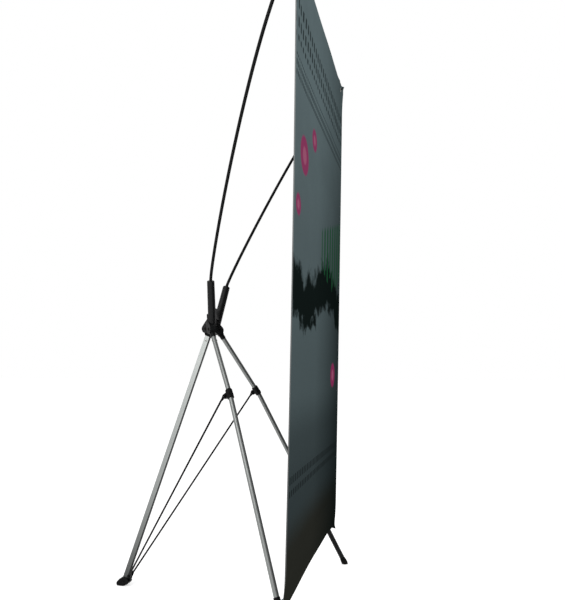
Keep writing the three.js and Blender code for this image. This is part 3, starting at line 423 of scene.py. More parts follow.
def nickel_plate():
    """Nickel plating with patches of tarnish"""
    recipe = Recipe("nickel plate")
    haze = recipe.noise(260.0, 4.0, 0.6)
    dim = recipe.span(recipe.noise(130.0, 5.0, 0.7), 0.55, 0.75, 0.0, 0.6)
    recipe.set(
        Base_Color=recipe.mix(dim, NICKEL, TARNISH),
        Metallic=1.0,
        Roughness=recipe.vary(haze, 0.18, 0.34),
        Normal=recipe.bump(haze, 0.0001, 0.2),
    )
    return recipe.material


# Weave of the cloth, and the rolls that storage left in it
WEAVE_PITCH = 0.0011
WEAVE_DEPTH = 0.00003
ROLL_SCALE = (3.0, 14.0, 1.0)
ROLL_DEPTH = 0.004

# Ground of the print: where its ramp ends, and stops between as shares of the height and the top colour
GROUND_LOW, GROUND_HIGH = 0.08, 0.86
GROUND_STOPS = ((0.15, 0.28), (0.24, 0.36), (0.33, 0.6), (0.55, 0.74), (0.7, 0.86))
# Painted shade: the colour that the print's ground turns to away from the near edge
FAR_PAINTED_SHADE = (0.002, 0.005, 0.005)

# Figures of the print and their inks, in metres from the sheet's lower left corner; a pair is a soft edge
BAND_LOW, BAND_HIGH = (0.8, 0.83), (0.94, 0.98)
BAND_INK = (0.003, 0.006, 0.005)
BAND_TURN, BAND_SWING = 9.0, 0.05
BAR_PITCH = 0.05
BAR_START = (0.4, 0.42)
BAR_FOOT, BAR_HEAD, BAR_SLOPE = (0.96, 0.97), (0.98, 1.0), 0.3
DISCS = (((0.13, 1.26), 0.055), ((0.06, 1.1), 0.03), ((0.27, 1.36), 0.034), ((0.66, 0.62), 0.045))
DISC_HEART, HEART_INK = 0.45, (0.45, 0.16, 0.24)
DASH_ROWS = ((1.44, 1.5, 0.016), (1.54, 1.66, 0.03), (0.3, 0.36, 0.022))
SPOT_SOFT, DASH_BLUR = 0.004, 0.15
DASH_INK = (0.008, 0.011, 0.011)

# Painted highlight along the near edge, in shares of the width, and its lowest and highest colour
EDGE_HIGHLIGHT = (0.011, 0.014)
EDGE_HIGHLIGHT_LOW, EDGE_HIGHLIGHT_HIGH = (0.17, 0.17, 0.168), (0.29, 0.31, 0.31)

# Grubby lower part of the back
GRUBBY_HEIGHT, GRUBBY = 0.3, (0.2, 0.198, 0.19)


def cloth_places(recipe, sizes):
    """Shares of the flat sheet's sides, metres across and up it, and these as one vector"""
    flat = recipe.add("ShaderNodeSeparateXYZ", {"Vector": recipe.flat})
    across = recipe.times(flat.outputs["X"], sizes.width)
    upward = recipe.times(flat.outputs["Y"], sizes.height)
    point = recipe.add("ShaderNodeCombineXYZ", {"X": across, "Y": upward}).outputs["Vector"]
    return flat.outputs["X"], flat.outputs["Y"], across, upward, point


def weave_normal(recipe, across, upward, point):
    """Fine cloth under a coating, with faint rolls from storage"""
    turn = FULL_TURN / WEAVE_PITCH
    threads = recipe.times(recipe.wave(across, turn), recipe.wave(upward, turn))
    cloth = recipe.bump(threads, WEAVE_DEPTH, 0.3)
    rolls = recipe.noise(1.0, 3.0, 0.55, vector=recipe.stretched(ROLL_SCALE, source=point))
    return recipe.bump(rolls, ROLL_DEPTH, 0.35, under=cloth)


def disc(recipe, point, place, radius):
    """A mask of a round spot"""
    away = recipe.add("ShaderNodeVectorMath", {0: point, 1: (*place, 0.0)}, operation="DISTANCE")
    return recipe.falling(away.outputs["Value"], radius - SPOT_SOFT, radius + SPOT_SOFT)


def dashes(recipe, place, pitch, start):
    """A mask that is on for the part of each pitch where a wave is above its start"""
    return recipe.rising(recipe.wave(place, FULL_TURN / pitch), start, start + DASH_BLUR)


def print_ground(recipe, sizes, share_across, share_up, point):
    """Grey teal that darkens downwards, with painted shade darkening it away from the near edge, and
    blotches in its upper part
    """
    ramp = recipe.add("ShaderNodeValToRGB", {"Fac": share_up})
    ramp.color_ramp.interpolation = "EASE"
    stops = ramp.color_ramp.elements
    stops[0].position = GROUND_LOW
    stops[0].color = (*sizes.low_colour, 1.0)
    stops[1].position = GROUND_HIGH
    stops[1].color = (*sizes.top_colour, 1.0)
    for place, level in GROUND_STOPS:
        stops.new(place).color = (*scaled(sizes.top_colour, level), 1.0)
    blotch = recipe.vary(recipe.noise(7.0, 4.0, 0.6, vector=point), 0.0, 0.3)
    blotched = recipe.mix(blotch, ramp.outputs["Color"], scaled(sizes.top_colour, 0.62))
    ground = recipe.mix(recipe.rising(share_up, 0.3, 0.5), ramp.outputs["Color"], blotched)
    # Painted shade, darkening the ground away from the near edge, less so towards the top
    far_shade_share = recipe.times(
        recipe.span(share_across, 0.42, 0.95, 0.0, 0.72), recipe.span(share_up, 0.5, 0.85, 1.0, 0.55))
    return recipe.mix(far_shade_share, ground, FAR_PAINTED_SHADE)


def print_figures(recipe, sizes, colour, across, upward, point):
    """A ragged dark band with bars on it, discs and rows of dashes, over a ground colour"""
    swing = recipe.times(recipe.wave(across, BAND_TURN), BAND_SWING)
    ragged = recipe.span(recipe.noise(16.0, 4.0, 0.6, vector=point), 0.2, 0.8, -0.06, 0.06)
    line = recipe.plus(upward, recipe.plus(swing, ragged))
    band = recipe.times(recipe.rising(line, *BAND_LOW), recipe.falling(line, *BAND_HIGH))
    colour = recipe.mix(recipe.times(band, 0.96), colour, BAND_INK)
    foot = recipe.rising(recipe.plus(upward, recipe.times(ragged, 1.4)), *BAR_FOOT)
    tilted = recipe.calculate("SUBTRACT", upward, recipe.times(across, BAR_SLOPE))
    head = recipe.falling(tilted, *BAR_HEAD)
    bars = recipe.times(dashes(recipe, across, BAR_PITCH, 0.1), recipe.times(foot, head))
    bars = recipe.times(bars, recipe.rising(across, *BAR_START))
    colour = recipe.mix(recipe.times(bars, 0.9), colour, sizes.second_accent)
    for place, radius in DISCS:
        spot = recipe.times(disc(recipe, point, place, radius), 0.85)
        heart = recipe.times(disc(recipe, point, place, radius * DISC_HEART), 0.5)
        colour = recipe.mix(spot, colour, sizes.accent)
        colour = recipe.mix(heart, colour, HEART_INK)
    for low, high, pitch in DASH_ROWS:
        marks = recipe.times(
            dashes(recipe, across, pitch, 0.1), dashes(recipe, upward, pitch * 1.7, -0.3))
        row = recipe.times(
            recipe.rising(upward, low, low + SPOT_SOFT), recipe.falling(upward, high, high + SPOT_SOFT))
        colour = recipe.mix(recipe.times(recipe.times(marks, row), 0.85), colour, DASH_INK)
    return colour


def banner_print(sizes):
    """A generic print on coated cloth, with a painted highlight along its near edge"""
    recipe = Recipe("banner print")
    share_across, share_up, across, upward, point = cloth_places(recipe, sizes)
    ground = print_ground(recipe, sizes, share_across, share_up, point)
    colour = print_figures(recipe, sizes, ground, across, upward, point)
    # Painted highlight: a pale strip along the near edge, brighter towards the top
    edge_highlight_colour = recipe.mix(recipe.rising(share_up, 0.1, 0.8), EDGE_HIGHLIGHT_LOW, EDGE_HIGHLIGHT_HIGH)
    edge_highlight_share = recipe.falling(share_across, *EDGE_HIGHLIGHT)
    recipe.set(
        Base_Color=recipe.mix(edge_highlight_share, colour, edge_highlight_colour),
        Roughness=recipe.vary(recipe.noise(14.0, 3.0, vector=point), 0.5, 0.64),
        Specular_IOR_Level=0.0,
        Normal=weave_normal(recipe, across, upward, point),
    )
    return recipe.material


def banner_back(sizes):
    """Plain grey backing, grubby along its lower edge"""
    recipe = Recipe("banner back")
    across, upward, point = cloth_places(recipe, sizes)[2:]
    shade = recipe.vary(recipe.noise(5.0, 4.0, 0.6, vector=point), 0.0, 0.5)
    colour = recipe.mix(shade, sizes.back_colour, scaled(sizes.back_colour, 0.86))
    recipe.set(
        Base_Color=recipe.mix(recipe.span(upward, 0.0, GRUBBY_HEIGHT, 0.35, 0.0), colour, GRUBBY),
        Roughness=recipe.vary(recipe.noise(20.0, 3.0, vector=point), 0.55, 0.7),
        Specular_IOR_Level=0.08,
        Normal=weave_normal(recipe, across, upward, point),
    )
    return recipe.material


# Mesh building
MERGED = 1e-6
HUB_EDGE, LEG_EDGE, SHOE_EDGE = 0.0007, 0.0006, 0.0008
PIN_EDGE, RIVET_EDGE = 0.0003, 0.0002
FLAT_WITHIN = math.radians(0.6)
SMOOTH_BELOW = math.radians(38)
ROUND_BELOW = math.radians(50)
BEVEL_ABOVE = math.radians(40)


def new_object(name, data):
    made = bpy.data.objects.new(name, data)
    bpy.context.scene.collection.objects.link(made)
    return made


def finish_mesh(name, bm, material, smooth_below=SMOOTH_BELOW):
    """Closes a bmesh into an object at the origin, smooth where its faces meet at less than an angle"""
    bmesh.ops.remove_doubles(bm, verts=bm.verts, dist=MERGED)
    bmesh.ops.recalc_face_normals(bm, faces=bm.faces)
    mesh = bpy.data.meshes.new(name)
    bm.to_mesh(mesh)
    bm.free()
    mesh.materials.append(material)
    mesh.shade_smooth()
    mesh.set_sharp_from_angle(angle=smooth_below)
    return new_object(name, mesh)


def stand_for(piece, body, slot, *nodes):
    """Puts a piece on its body and in place of its CAD nodes; the slot is not used"""
    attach(piece, body)
    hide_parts(*nodes)
    return piece


def aim(place, direction):
    """The matrix that turns a shape drawn along +Z towards a direction and sets it down at a place"""
    return Matrix.Translation(place) @ direction.to_track_quat("Z", "Y").to_matrix().to_4x4()


def spin_profile(bm, profile, matrix, steps, closed=False):
    """Spins a profile of (radius, height) points about its axis into a solid"""
    points = [bm.verts.new((radius, 0.0, height)) for radius, height in profile]
    pairs = list(zip(points, points[1:]))
    if closed:
        pairs.append((points[-1], points[0]))
    edges = [bm.edges.new(pair) for pair in pairs]
    bmesh.ops.spin(
        bm, geom=points + edges, cent=(0.0, 0.0, 0.0), axis=UP, angle=FULL_TURN, steps=steps,
        use_merge=True, use_duplicate=False)
    bmesh.ops.transform(bm, matrix=matrix, verts=bm.verts)
    bmesh.ops.remove_doubles(bm, verts=bm.verts, dist=MERGED)


def sweep_rod(bm, points, radius, sides, end_size=1.0):
    """Extrudes a circle along a list of points, turning it with the path, and resizes the last one"""
    along = (points[1] - points[0]).normalized()
    ring = bmesh.ops.create_circle(
        bm, cap_ends=True, segments=sides, radius=radius, matrix=aim(points[0], along))["verts"]
    edges = list({edge for vert in ring for edge in vert.link_edges if edge.is_boundary})
    last = len(points) - 1
    for index in range(1, last + 1):
        ahead = (points[min(index + 1, last)] - points[index - 1]).normalized()
        step = bmesh.ops.extrude_edge_only(bm, edges=edges)["geom"]
        verts = [item for item in step if isinstance(item, bmesh.types.BMVert)]
        edges = [item for item in step if isinstance(item, bmesh.types.BMEdge) and item.is_boundary]
        middle = sum((vert.co for vert in verts), Vector()) / len(verts)
        turn = along.rotation_difference(ahead).to_matrix().to_4x4()
        size = Matrix.Scale(end_size if index == last else 1.0, 4)
        place = Matrix.Translation(points[index]) @ size @ turn @ Matrix.Translation(-middle)
        bmesh.ops.transform(bm, matrix=place, verts=verts)
        along = ahead
    bmesh.ops.holes_fill(bm, edges=edges, sides=sides)


def corner(before, turn, after, radius, steps=6):
    """A rounded corner of a route"""
    inward = (turn - before).normalized()
    outward = (after - turn).normalized()
    angle = inward.angle(outward)
    start = turn - inward * radius * math.tan(angle / 2)
    aside = (outward - inward * math.cos(angle)).normalized()
    turns = [angle * step / steps for step in range(steps + 1)]
    return [start + radius * (inward * math.sin(part) + aside * (1 - math.cos(part))) for part in turns]


def dress(node, name, body, slot, material, edge_width=0.0, smooth_below=SMOOTH_BELOW):
    """Shows a CAD node as a copy of itself with its corners merged and its sharp edges rounded"""
    bm = bmesh.new()
    bm.from_mesh(frame["nodes"][node].data)
    bmesh.ops.remove_doubles(bm, verts=bm.verts, dist=MERGED)
    bmesh.ops.dissolve_limit(bm, angle_limit=FLAT_WITHIN, verts=bm.verts, edges=bm.edges)
    piece = finish_mesh(name, bm, material, smooth_below)
    if edge_width:
        rounding = piece.modifiers.new("rounded edges", "BEVEL")
        rounding.width = edge_width
        rounding.segments = 2
        rounding.limit_method = "ANGLE"
        rounding.angle_limit = BEVEL_ABOVE
        rounding.use_clamp_overlap = True
        rounding.harden_normals = True
    stand_for(piece, body, slot, node)


# Places on the stand
LOWER_TILT = math.radians(29.3)


def banner_turn(sizes):
    return math.asin(sizes.lean / sizes.height)


def on_stand(point, sizes):
    """From the banner's own flat drawing to the stand"""
    turned = Matrix.Rotation(banner_turn(sizes), 4, "X") @ point
    return turned + Vector((0.0, STAND_SHIFT, sizes.foot_height))


def eyelet_points(sizes):
    inset = sizes.eyelet_inset
    return {
        f"{end}_{word}": Vector((inset if side < 0 else sizes.width - inset, 0.0, height))
        for word, side in SIDES
        for end, height in (("bottom", inset), ("top", sizes.height - inset))
    }


def slope(side, spread, lean):
    return Vector((side * math.tan(spread), -math.tan(lean), 1.0)).normalized()


def tube_direction(word):
    """The mean of a front tube's direction above its bend, where the collar slides, and below it"""
    upper = -Vector(joint(f"collar_slide_{word}")["axis"]).normalized()
    outward = Vector((upper.x, upper.y, 0.0)).normalized()
    lower = outward * math.sin(LOWER_TILT) - UP * math.cos(LOWER_TILT)
    return (upper + lower).normalized()


# Shape of the hanging sheet: how far from an eyelet, an end or a side each form reaches, and its depth
EYELET_FLAT, EYELET_BLEND = 0.0095, 0.014
PULL_START, PULL_REACH = 0.031, 0.085
HEM = 0.012
PULL_DEPTH = {"bottom": 0.0084, "top": 0.002}
HOOK_DEPTH = {"bottom": 0.010, "top": 0.002}
CURL_REACH = 0.013
SIDE_CURL, CORNER_CURL = 0.0055, 0.004
BOTTOM_FULLNESS, TOP_FULLNESS, END_FADE = 10, 4, 12
FAN_CREASES, FAN_FADE = 9.0, 0.16
FAN_START, FAN_BLEND = 0.012, 0.05
STIFF_SIDE = 0.03
RIPPLE, RIPPLE_REACH = 0.0011, 0.2
RIPPLE_LAYERS = ((1.0, 2.6, 7.3, 1.1), (0.5, 7.0, 1.7, 3.0))
BOW = 0.0024


def stations(length, edge_steps, cell):
    """Places of the sheet's grid lines, closer together near its edges"""
    reach = length - 2 * edge_steps[-1]
    count = round(reach / cell)
    middle = [edge_steps[-1] + reach * step / count for step in range(1, count)]
    return [*edge_steps, *middle, *(length - place for place in reversed(edge_steps))]


def smooth_step(value):
    share = min(max(value, 0.0), 1.0)
    return share * share * (3 - 2 * share)


def ripples(x, z):
    """Shallow ripples in layers, each with its share, its scale across, its slice and its scale up"""
    return RIPPLE * sum(
        share * noise.noise(Vector((x * across, cut, z * up))) for share, across, cut, up in RIPPLE_LAYERS)


def free_share(place, length):
    """1 in the middle of a length, falling to 0 where the hooks hold it"""
    return max(0.0, 1 - ((2 * place - length) / (length - 2 * PULL_START)) ** 2)


def hang(point, sizes, eyelets):
    """Where a point of the flat sheet lies when the sheet hangs between its four hooks"""
    x, z = point.x, point.z
    width, height = sizes.width, sizes.height
    end = "bottom" if z < height / 2 else "top"
    from_side, from_end = min(x, width - x), min(z, height - z)
    off = 2 * x / width - 1
    rise = z / height
    free_z = free_share(z, height)
    near = max(0.0, 1 - max(0.0, from_end - PULL_START) / PULL_REACH) ** 2
    eyelet = min(eyelets, key=lambda place: (point - place).length)
    away = (point - eyelet).length
    held = 1 - smooth_step((away - EYELET_FLAT) / EYELET_BLEND)
    held *= smooth_step(from_end / HEM)
    arch = smooth_step(1 + off) if off < 0 else 1 - off ** BOTTOM_FULLNESS
    lift = sizes.bottom_rise * arch * (1 - held) * (1 - rise) ** END_FADE
    sag = sizes.top_sag * (1 - off ** TOP_FULLNESS) * rise ** END_FADE * (1 - held)
    at_corner = max(0.0, 1 - from_end / CURL_REACH)
    curl = max(0.0, 1 - from_side / CURL_REACH) ** 2 * (SIDE_CURL * near + CORNER_CURL * at_corner)
    pull = near * PULL_DEPTH[end] + held * HOOK_DEPTH[end]
    inward = Vector((width / 2 - eyelet.x, 0.0, height / 2 - eyelet.z)).normalized()
    angle = inward.angle((point - eyelet).normalized()) if away > 0 else 0.0
    fan = math.cos(angle * FAN_CREASES) * math.exp(-away / FAN_FADE)
    fan *= smooth_step((away - FAN_START) / FAN_BLEND)
    loose = smooth_step(from_side / STIFF_SIDE)
    wrinkle = sizes.crease * fan * loose
    ripple = ripples(x, z) * smooth_step(away / RIPPLE_REACH) * loose
    draw = sizes.side_draw * free_z * (1 - free_share(x, width)) * (-1 if off > 0 else 1)
    depth = pull + wrinkle + ripple - BOW * free_z - curl
    return Vector((x - width / 2 + draw, depth, z + lift - sag))


# Grid of the sheet: its lines near an edge, its cells between, and the square and radius of a hole
EDGE_LINES = (0.0, 0.003, 0.0065, 0.010, 0.014, 0.018, 0.022, 0.026, 0.030, 0.035, 0.041, 0.049)
CELL_WIDTH, CELL_HEIGHT = 0.0105, 0.0120
HOLE_SQUARE = 0.008
HOLE_RADIUS = 0.0058
UPRIGHT = Matrix.Rotation(math.pi / 2, 4, "X")


def cut_hole(bm, eyelet):
    """Replaces the cells around an eyelet by a ring of faces about a round hole"""
    cell = []
    for face in bm.faces:
        away = face.calc_center_median() - eyelet
        if max(abs(away.x), abs(away.z)) < HOLE_SQUARE:
            cell.append(face)
    chosen = set(cell)
    rim = [edge for face in cell for edge in face.edges if not set(edge.link_faces) <= chosen]
    bmesh.ops.delete(bm, geom=cell, context="FACES")
    eighth = Matrix.Rotation(math.pi / 4, 4, "Z")
    ring = bmesh.ops.create_circle(
        bm, cap_ends=False, segments=len(rim), radius=HOLE_RADIUS,
        matrix=Matrix.Translation(eyelet) @ UPRIGHT @ eighth)["verts"]
    loop = list({edge for vert in ring for edge in vert.link_edges})
    bmesh.ops.bridge_loops(bm, edges=rim + loop)


def sheet_grid(sizes, eyelets):
    """The flat sheet with its four round holes, as a bmesh with the flat place of each corner as UV"""
    across = stations(sizes.width, EDGE_LINES, CELL_WIDTH)
    upward = stations(sizes.height, EDGE_LINES, CELL_HEIGHT)
    bm = bmesh.new()
    bmesh.ops.create_grid(
        bm, x_segments=len(across) - 1, y_segments=len(upward) - 1, size=1.0, matrix=UPRIGHT)
    for vert in bm.verts:
        column = round((vert.co.x + 1) / 2 * (len(across) - 1))
        row = round((vert.co.z + 1) / 2 * (len(upward) - 1))
        vert.co = (across[column], 0.0, upward[row])
    for eyelet in eyelets:
        cut_hole(bm, eyelet)
    layer = bm.loops.layers.uv.new("Flat")
    for face in bm.faces:
        for loop in face.loops:
            loop[layer].uv = (loop.vert.co.x / sizes.width, loop.vert.co.z / sizes.height)
    return bm


# Half outline of an eyelet: its bore and neck, and from one to the other radius and height above the cloth
EYELET_BORE, EYELET_NECK = 0.0046, 0.0055
EYELET_SIDES = 40
EYELET_OUTLINE = (
    (0.0047, 0.0008), (0.0053, 0.0013), (0.0062, 0.0014), (0.0072, 0.0010),
    (0.0079, 0.0005), (0.0080, 0.0002), (0.0076, 0.00015), (0.0056, 0.00015),
)


class BANNER_OT_sheet(Operator):
    """Makes the printed sheet, pulled tight between its four hooks, and its eyelets"""

    bl_idname = "banner_stand.sheet"
    bl_label = "Banner Sheet"

    def execute(self, context):
        sizes = context.scene.banner_stand.banner
        places = eyelet_points(sizes)
        eyelets = [*places.values()]
        bm = sheet_grid(sizes, eyelets)
        for vert in bm.verts:
            vert.co = on_stand(hang(vert.co.copy(), sizes, eyelets), sizes)
        bm.normal_update()
        if sum(face.normal.y for face in bm.faces) > 0:
            bmesh.ops.reverse_faces(bm, faces=bm.faces)
        mesh = bpy.data.meshes.new("banner_sheet")
        bm.to_mesh(mesh)
        bm.free()
        mesh.shade_smooth()
        mesh.materials.append(banner_print(sizes))
        mesh.materials.append(banner_back(sizes))
        sheet = new_object("banner_sheet", mesh)
        wall = sheet.modifiers.new("cloth thickness", "SOLIDIFY")
        wall.thickness = sizes.thickness
        wall.offset = 0.0
        wall.material_offset = 1
        wall.material_offset_rim = 1
        stand_for(sheet, "hub", "banner_print", "banner")
        plate = nickel_plate()
        rings = [self.ring(name, place, sizes, eyelets, plate) for name, place in places.items()]
        return {"FINISHED"}

    def ring(self, name, place, sizes, eyelets, plate):
        """A rolled metal eyelet"""
        half = sizes.thickness / 2
        front = [(radius, half + height) for radius, height in EYELET_OUTLINE]
        back = [(radius, -height) for radius, height in reversed(front)]
        seat = on_stand(hang(place, sizes, eyelets), sizes)
        facing = Matrix.Rotation(banner_turn(sizes), 3, "X") @ Vector((0.0, -1.0, 0.0))
        bm = bmesh.new()
        outline = [(EYELET_BORE, 0.0), *front, (EYELET_NECK, 0.0), *back]
        spin_profile(bm, outline, aim(seat, facing), EYELET_SIDES, closed=True)
        piece = finish_mesh(f"eyelet_{name}", bm, plate, ROUND_BELOW)
        return stand_for(piece, "hub", "plated_steel", f"grommet_{name}")


# Pole caps: the nose from its eyelet, the ends of bore and pole below it, and the grips as shares
NOSE_FROM_EYELET = Vector((0.0, 0.0095, 0.0021))
BORE_CLEARANCE = 0.0003
BORE_END = 0.004
POLE_END = 0.0034
MOUTH_RADIUS, MOUTH_CHAMFER = 0.92, 0.96
GROOVE_RADIUS = 0.93
GRIP_RINGS, GRIP_PITCH = 3, 0.17
GRIP_OUTLINE = ((1.0, 0.62), (GROOVE_RADIUS, 0.59), (GROOVE_RADIUS, 0.53), (1.0, 0.50))
DOME_STEP = 15
POLE_SIDES, CAP_SIDES = 24, 36

# Finger of a cap: how far it reaches through the sheet, its tip from there, its bend and its end's size
FINGER_REACH = Vector((0.0, -0.006, 0.0))
FINGER_TIP = Vector((0.0, -0.004, 0.007))
FINGER_BEND = 0.004
FINGER_END = 0.72
FINGER_SIDES = 16


class BANNER_OT_poles(Operator):
    """Makes the bowed poles and their hooked end caps"""

    bl_idname = "banner_stand.poles"
    bl_label = "Poles"

    def execute(self, context):
        stand = context.scene.banner_stand
        sizes = stand.poles
        fibre = pole_fibre()
        plastic = moulded_plastic("pole cap plastic", stand.finish.hub_black, HUB_GLOSS)
        for word, side in SIDES:
            foot = Vector(sizes.sleeve_foot)
            foot.x *= side
            foot.y += STAND_SHIFT
            rise = slope(side, sizes.spread, sizes.lean)
            lead = slope(side, sizes.end_spread, sizes.end_lean)
            eyelet = centre(f"grommet_top_{word}")
            nose = eyelet + NOSE_FROM_EYELET
            mouth = foot + rise * sizes.sleeve_length
            cap_mouth = nose - lead * sizes.cap_length
            bow = geometry.interpolate_bezier(
                mouth, mouth + rise * sizes.start_pull, cap_mouth - lead * sizes.end_pull, cap_mouth,
                sizes.steps)
            bm = bmesh.new()
            route = [foot + rise * sizes.seat, *bow, nose - lead * POLE_END]
            sweep_rod(bm, route, sizes.radius, POLE_SIDES)
            rod = finish_mesh(f"bowed_pole_{word}", bm, fibre)
            stand_for(rod, "hub", "fibreglass", f"pole_{word}")
            cap = self.cap(f"pole_cap_{word}", sizes, eyelet, nose, lead, plastic)
            stand_for(cap, "hub", "black_plastic", f"pole_tip_{word}")
        return {"FINISHED"}

    def cap(self, name, sizes, eyelet, nose, lead, plastic):
        """A cap with grip rings, a domed nose and a finger through the eyelet"""
        radius, length = sizes.cap_radius, sizes.cap_length
        bore = sizes.radius + BORE_CLEARANCE
        angles = [math.radians(angle) for angle in range(0, 91, DOME_STEP)]
        dome = [(radius * math.cos(angle), radius * math.sin(angle)) for angle in angles]
        grips = [
            (radius * across, -length * (down - ring * GRIP_PITCH))
            for ring in range(GRIP_RINGS)
            for across, down in GRIP_OUTLINE
        ]
        profile = [
            (0.0, -BORE_END), (bore, -BORE_END), (bore, -length), (radius * MOUTH_RADIUS, -length),
            (radius, -length * MOUTH_CHAMFER), *grips, *dome,
        ]
        bm = bmesh.new()
        spin_profile(bm, profile, aim(nose, lead), CAP_SIDES)
        through = Vector((nose.x, eyelet.y, nose.z))
        front = through + FINGER_REACH
        tip = front + FINGER_TIP
        route = [nose, *corner(through, front, tip, FINGER_BEND), tip]
        sweep_rod(bm, route, sizes.finger_radius, FINGER_SIDES, FINGER_END)
        return finish_mesh(name, bm, plastic)


class BANNER_OT_hub(Operator):
    """Makes the moulded hub and its hinge pins"""

    bl_idname = "banner_stand.hub"
    bl_label = "Hub"

    def execute(self, context):
        finish = context.scene.banner_stand.finish
        plastic = moulded_plastic("hub plastic", finish.hub_black, HUB_GLOSS)
        dress("hub_core", "hub_moulding", "hub", "black_plastic", plastic, HUB_EDGE)
        steel = painted_rod()
        for node in ("hub_pin_front_left", "hub_pin_front_right", "hub_pin_rear"):
            dress(node, f"{node}_turned", "hub", "black_steel", steel, PIN_EDGE, ROUND_BELOW)
        return {"FINISHED"}


class BANNER_OT_front_legs(Operator):
    """Makes the front legs with their knuckles, collars, lower sleeves, hooks and tips"""

    bl_idname = "banner_stand.front_legs"
    bl_label = "Front Legs"

    def execute(self, context):
        finish = context.scene.banner_stand.finish
        plastic = moulded_plastic("leg plastic", finish.leg_black, LEG_GLOSS)
        rubber = foot_rubber()
        plate = nickel_plate()
        for word, side in SIDES:
            # Painted light on the left tube and painted shade on the right one
            metal = anodised_tube(
                f"satin tube {word}", tube_direction(word), finish.front_tube - finish.painted_side_shading * side)
            for kind, body, material, slot, width in (
                ("knuckle_front", "front_leg", plastic, "black_plastic", LEG_EDGE),
                ("front_leg", "front_leg", metal, "aluminium", 0.0),
                ("rivet_front", "front_leg", plate, "plated_steel", RIVET_EDGE),
                ("leg_sleeve", "front_leg", plastic, "black_plastic", 0.0),
                ("foot_tip", "front_leg", rubber, "black_rubber", LEG_EDGE),
                ("collar", "collar", plastic, "black_plastic", LEG_EDGE),
            ):
                node = f"{kind}_{word}"
                dress(node, f"{node}_finished", f"{body}_{word}", slot, material, width)
        return {"FINISHED"}


class BANNER_OT_rear_leg(Operator):
    """Makes the rear leg with its knuckle, tube, shoe and rivets"""

    bl_idname = "banner_stand.rear_leg"
    bl_label = "Rear Leg"

    def execute(self, context):
        finish = context.scene.banner_stand.finish
        plastic = moulded_plastic("shoe plastic", finish.shoe_black, SHOE_GLOSS)
        steel = painted_rod()
        tilt = math.radians(joint("rear_leg_fold")["range_deg"][1])
        along = Vector((0.0, math.sin(tilt), -math.cos(tilt)))
        # The front face's plane, along which the rear tube gets a strip of painted shade
        facing = Vector((0.0, -math.cos(tilt), -math.sin(tilt)))
        plane = max(vert.co.dot(facing) for vert in frame["nodes"]["rear_leg"].data.vertices)
        metal = anodised_tube("satin rear tube", along, finish.rear_tube, finish.rear_foot, (facing, plane))
        for node, material, slot, width in (
            ("knuckle_rear", plastic, "black_plastic", LEG_EDGE),
            ("rear_leg", metal, "aluminium", 0.0),
            ("rivet_rear", nickel_plate(), "plated_steel", RIVET_EDGE),
            ("foot_rivet", steel, "black_steel", RIVET_EDGE),
            ("rear_foot", plastic, "black_plastic", SHOE_EDGE),
            ("brace_foot_pin", steel, "black_steel", RIVET_EDGE),
        ):
            dress(node, f"{node}_finished", "rear_leg", slot, material, width)
        return {"FINISHED"}


class BANNER_OT_braces(Operator):
    """Makes the thin braces and their rivets"""

    bl_idname = "banner_stand.braces"
    bl_label = "Braces"

    def execute(self, context):
        steel = painted_rod()
        for word in dict(SIDES):
            for node in (f"brace_{word}", f"brace_rivet_{word}"):
                dress(node, f"{node}_finished", f"brace_{word}", "black_steel", steel)
        return {"FINISHED"}


# Stage: the lamps face the stand's middle
KEY_PLACE, KEY_SIZE = Vector((-3.0, 0.9, 3.1)), 2.4
FILL_PLACE, FILL_SIZE = Vector((-2.2, -3.2, 1.8)), 2.2
STAND_MIDDLE = Vector((0.0, 0.0, 0.95))
FILM_WIDTH = 36.0
FLOOR_REACH = 30.0
FLOOR_GAP = 0.0005
WHITE = (1.0, 1.0, 1.0, 1.0)


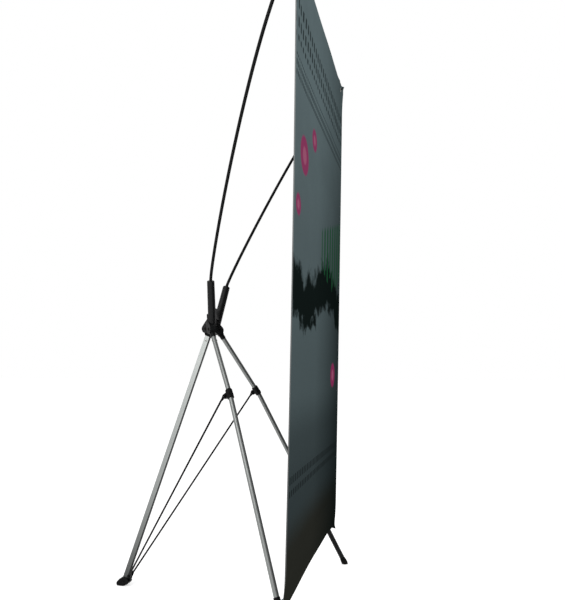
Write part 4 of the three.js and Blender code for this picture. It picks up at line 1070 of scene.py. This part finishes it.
class BANNER_OT_stage(Operator):
    """Makes the camera, the pale floor and the soft studio light"""

    bl_idname = "banner_stand.stage"
    bl_label = "Stage"

    def execute(self, context):
        stage = context.scene.banner_stand.stage
        context.scene.view_settings.view_transform = "Standard"
        self.camera(context, stage)
        self.floor(stage)
        self.sky(context, stage)
        self.lamp("key lamp", KEY_PLACE, KEY_SIZE, stage.key_power)
        self.lamp("fill lamp", FILL_PLACE, FILL_SIZE, stage.fill_power)
        return {"FINISHED"}

    def camera(self, context, stage):
        """The photograph's camera, whose lens counts in image heights because the frame is tall"""
        data = bpy.data.cameras.new("photo camera")
        data.sensor_width = FILM_WIDTH
        data.lens = stage.focal_length * data.sensor_width
        data.shift_y = stage.frame_shift
        yaw, pitch = stage.camera_yaw, stage.camera_pitch
        ahead = Vector((math.cos(yaw) * math.cos(pitch), math.sin(yaw) * math.cos(pitch), math.sin(pitch)))
        right = Vector((math.sin(yaw), -math.cos(yaw), 0.0))
        above = right.cross(ahead)
        level = Matrix((right, above, -ahead)).transposed()
        camera = new_object("photo camera", data)
        place = Vector(stage.camera_place) + Vector((0.0, STAND_SHIFT, 0.0))
        turn = level @ Matrix.Rotation(stage.camera_roll, 3, "Z")
        camera.matrix_world = Matrix.Translation(place) @ turn.to_4x4()
        context.scene.camera = camera

    def floor(self, stage):
        """A pale floor that looks white to the camera and in reflections, and keeps the shadows"""
        bm = bmesh.new()
        bmesh.ops.create_grid(bm, x_segments=1, y_segments=1, size=FLOOR_REACH)
        recipe = Recipe("pale floor")
        mottle = recipe.noise(3.0, 3.0)
        rays = recipe.add("ShaderNodeLightPath")
        seen = recipe.calculate("MAXIMUM", rays.outputs["Is Camera Ray"], rays.outputs["Is Glossy Ray"])
        recipe.set(
            Base_Color=recipe.mix(mottle, (0.86, 0.86, 0.86), (0.88, 0.88, 0.88)),
            Roughness=0.9,
            Specular_IOR_Level=0.2,
            Emission_Color=WHITE,
            Emission_Strength=recipe.times(seen, stage.floor_glow),
        )
        floor = finish_mesh("studio_floor", bm, recipe.material)
        floor.location.z = -FLOOR_GAP

    def sky(self, context, stage):
        """Even white light, at full strength where the camera sees it"""
        world = bpy.data.worlds.new("studio")
        context.scene.world = world
        world.use_nodes = True
        nodes, links = world.node_tree.nodes, world.node_tree.links
        rays = nodes.new("ShaderNodeLightPath")
        seen = nodes.new("ShaderNodeMath")
        seen.operation = "MAXIMUM"
        links.new(rays.outputs["Is Camera Ray"], seen.inputs[0])
        links.new(rays.outputs["Is Transmission Ray"], seen.inputs[1])
        level = nodes.new("ShaderNodeMapRange")
        level.inputs["To Min"].default_value = stage.sky
        level.inputs["To Max"].default_value = 1.0
        links.new(seen.outputs["Value"], level.inputs["Value"])
        background = nodes["Background"]
        background.inputs["Color"].default_value = WHITE
        links.new(level.outputs["Result"], background.inputs["Strength"])

    def lamp(self, name, place, size, power):
        data = bpy.data.lights.new(name, "AREA")
        data.size = size
        data.energy = power
        lamp = new_object(name, data)
        lamp.matrix_world = aim(place, place - STAND_MIDDLE)


class BANNER_PT_panel(Panel):
    """Lists the stand's sizes and the operators that make its pieces"""

    bl_idname = "BANNER_PT_panel"
    bl_label = "Banner Stand"
    bl_space_type = "VIEW_3D"
    bl_region_type = "UI"
    bl_category = "Banner Stand"

    def draw(self, context):
        stand = context.scene.banner_stand
        for group in (stand.banner, stand.poles, stand.finish, stand.stage):
            box = self.layout.box()
            for field in group.bl_rna.properties:
                if field.identifier not in {"rna_type", "name"}:
                    box.prop(group, field.identifier)
        for operator in OPERATORS:
            self.layout.operator(operator.bl_idname)


GROUPS = (BannerSizes, PoleSizes, FinishSettings, StageSettings, StandSettings)
OPERATORS = (
    BANNER_OT_stage, BANNER_OT_hub, BANNER_OT_poles, BANNER_OT_front_legs, BANNER_OT_rear_leg,
    BANNER_OT_braces, BANNER_OT_sheet,
)


def register():
    for entry in (*GROUPS, *OPERATORS, BANNER_PT_panel):
        bpy.utils.register_class(entry)
    bpy.types.Scene.banner_stand = PointerProperty(type=StandSettings)


def unregister():
    del bpy.types.Scene.banner_stand
    for entry in reversed((*GROUPS, *OPERATORS, BANNER_PT_panel)):
        bpy.utils.unregister_class(entry)


def main():
    register()
    bpy.ops.banner_stand.stage()
    bpy.ops.banner_stand.hub()
    bpy.ops.banner_stand.poles()
    bpy.ops.banner_stand.front_legs()
    bpy.ops.banner_stand.rear_leg()
    bpy.ops.banner_stand.braces()
    bpy.ops.banner_stand.sheet()


if __name__ == "__main__":
    main()
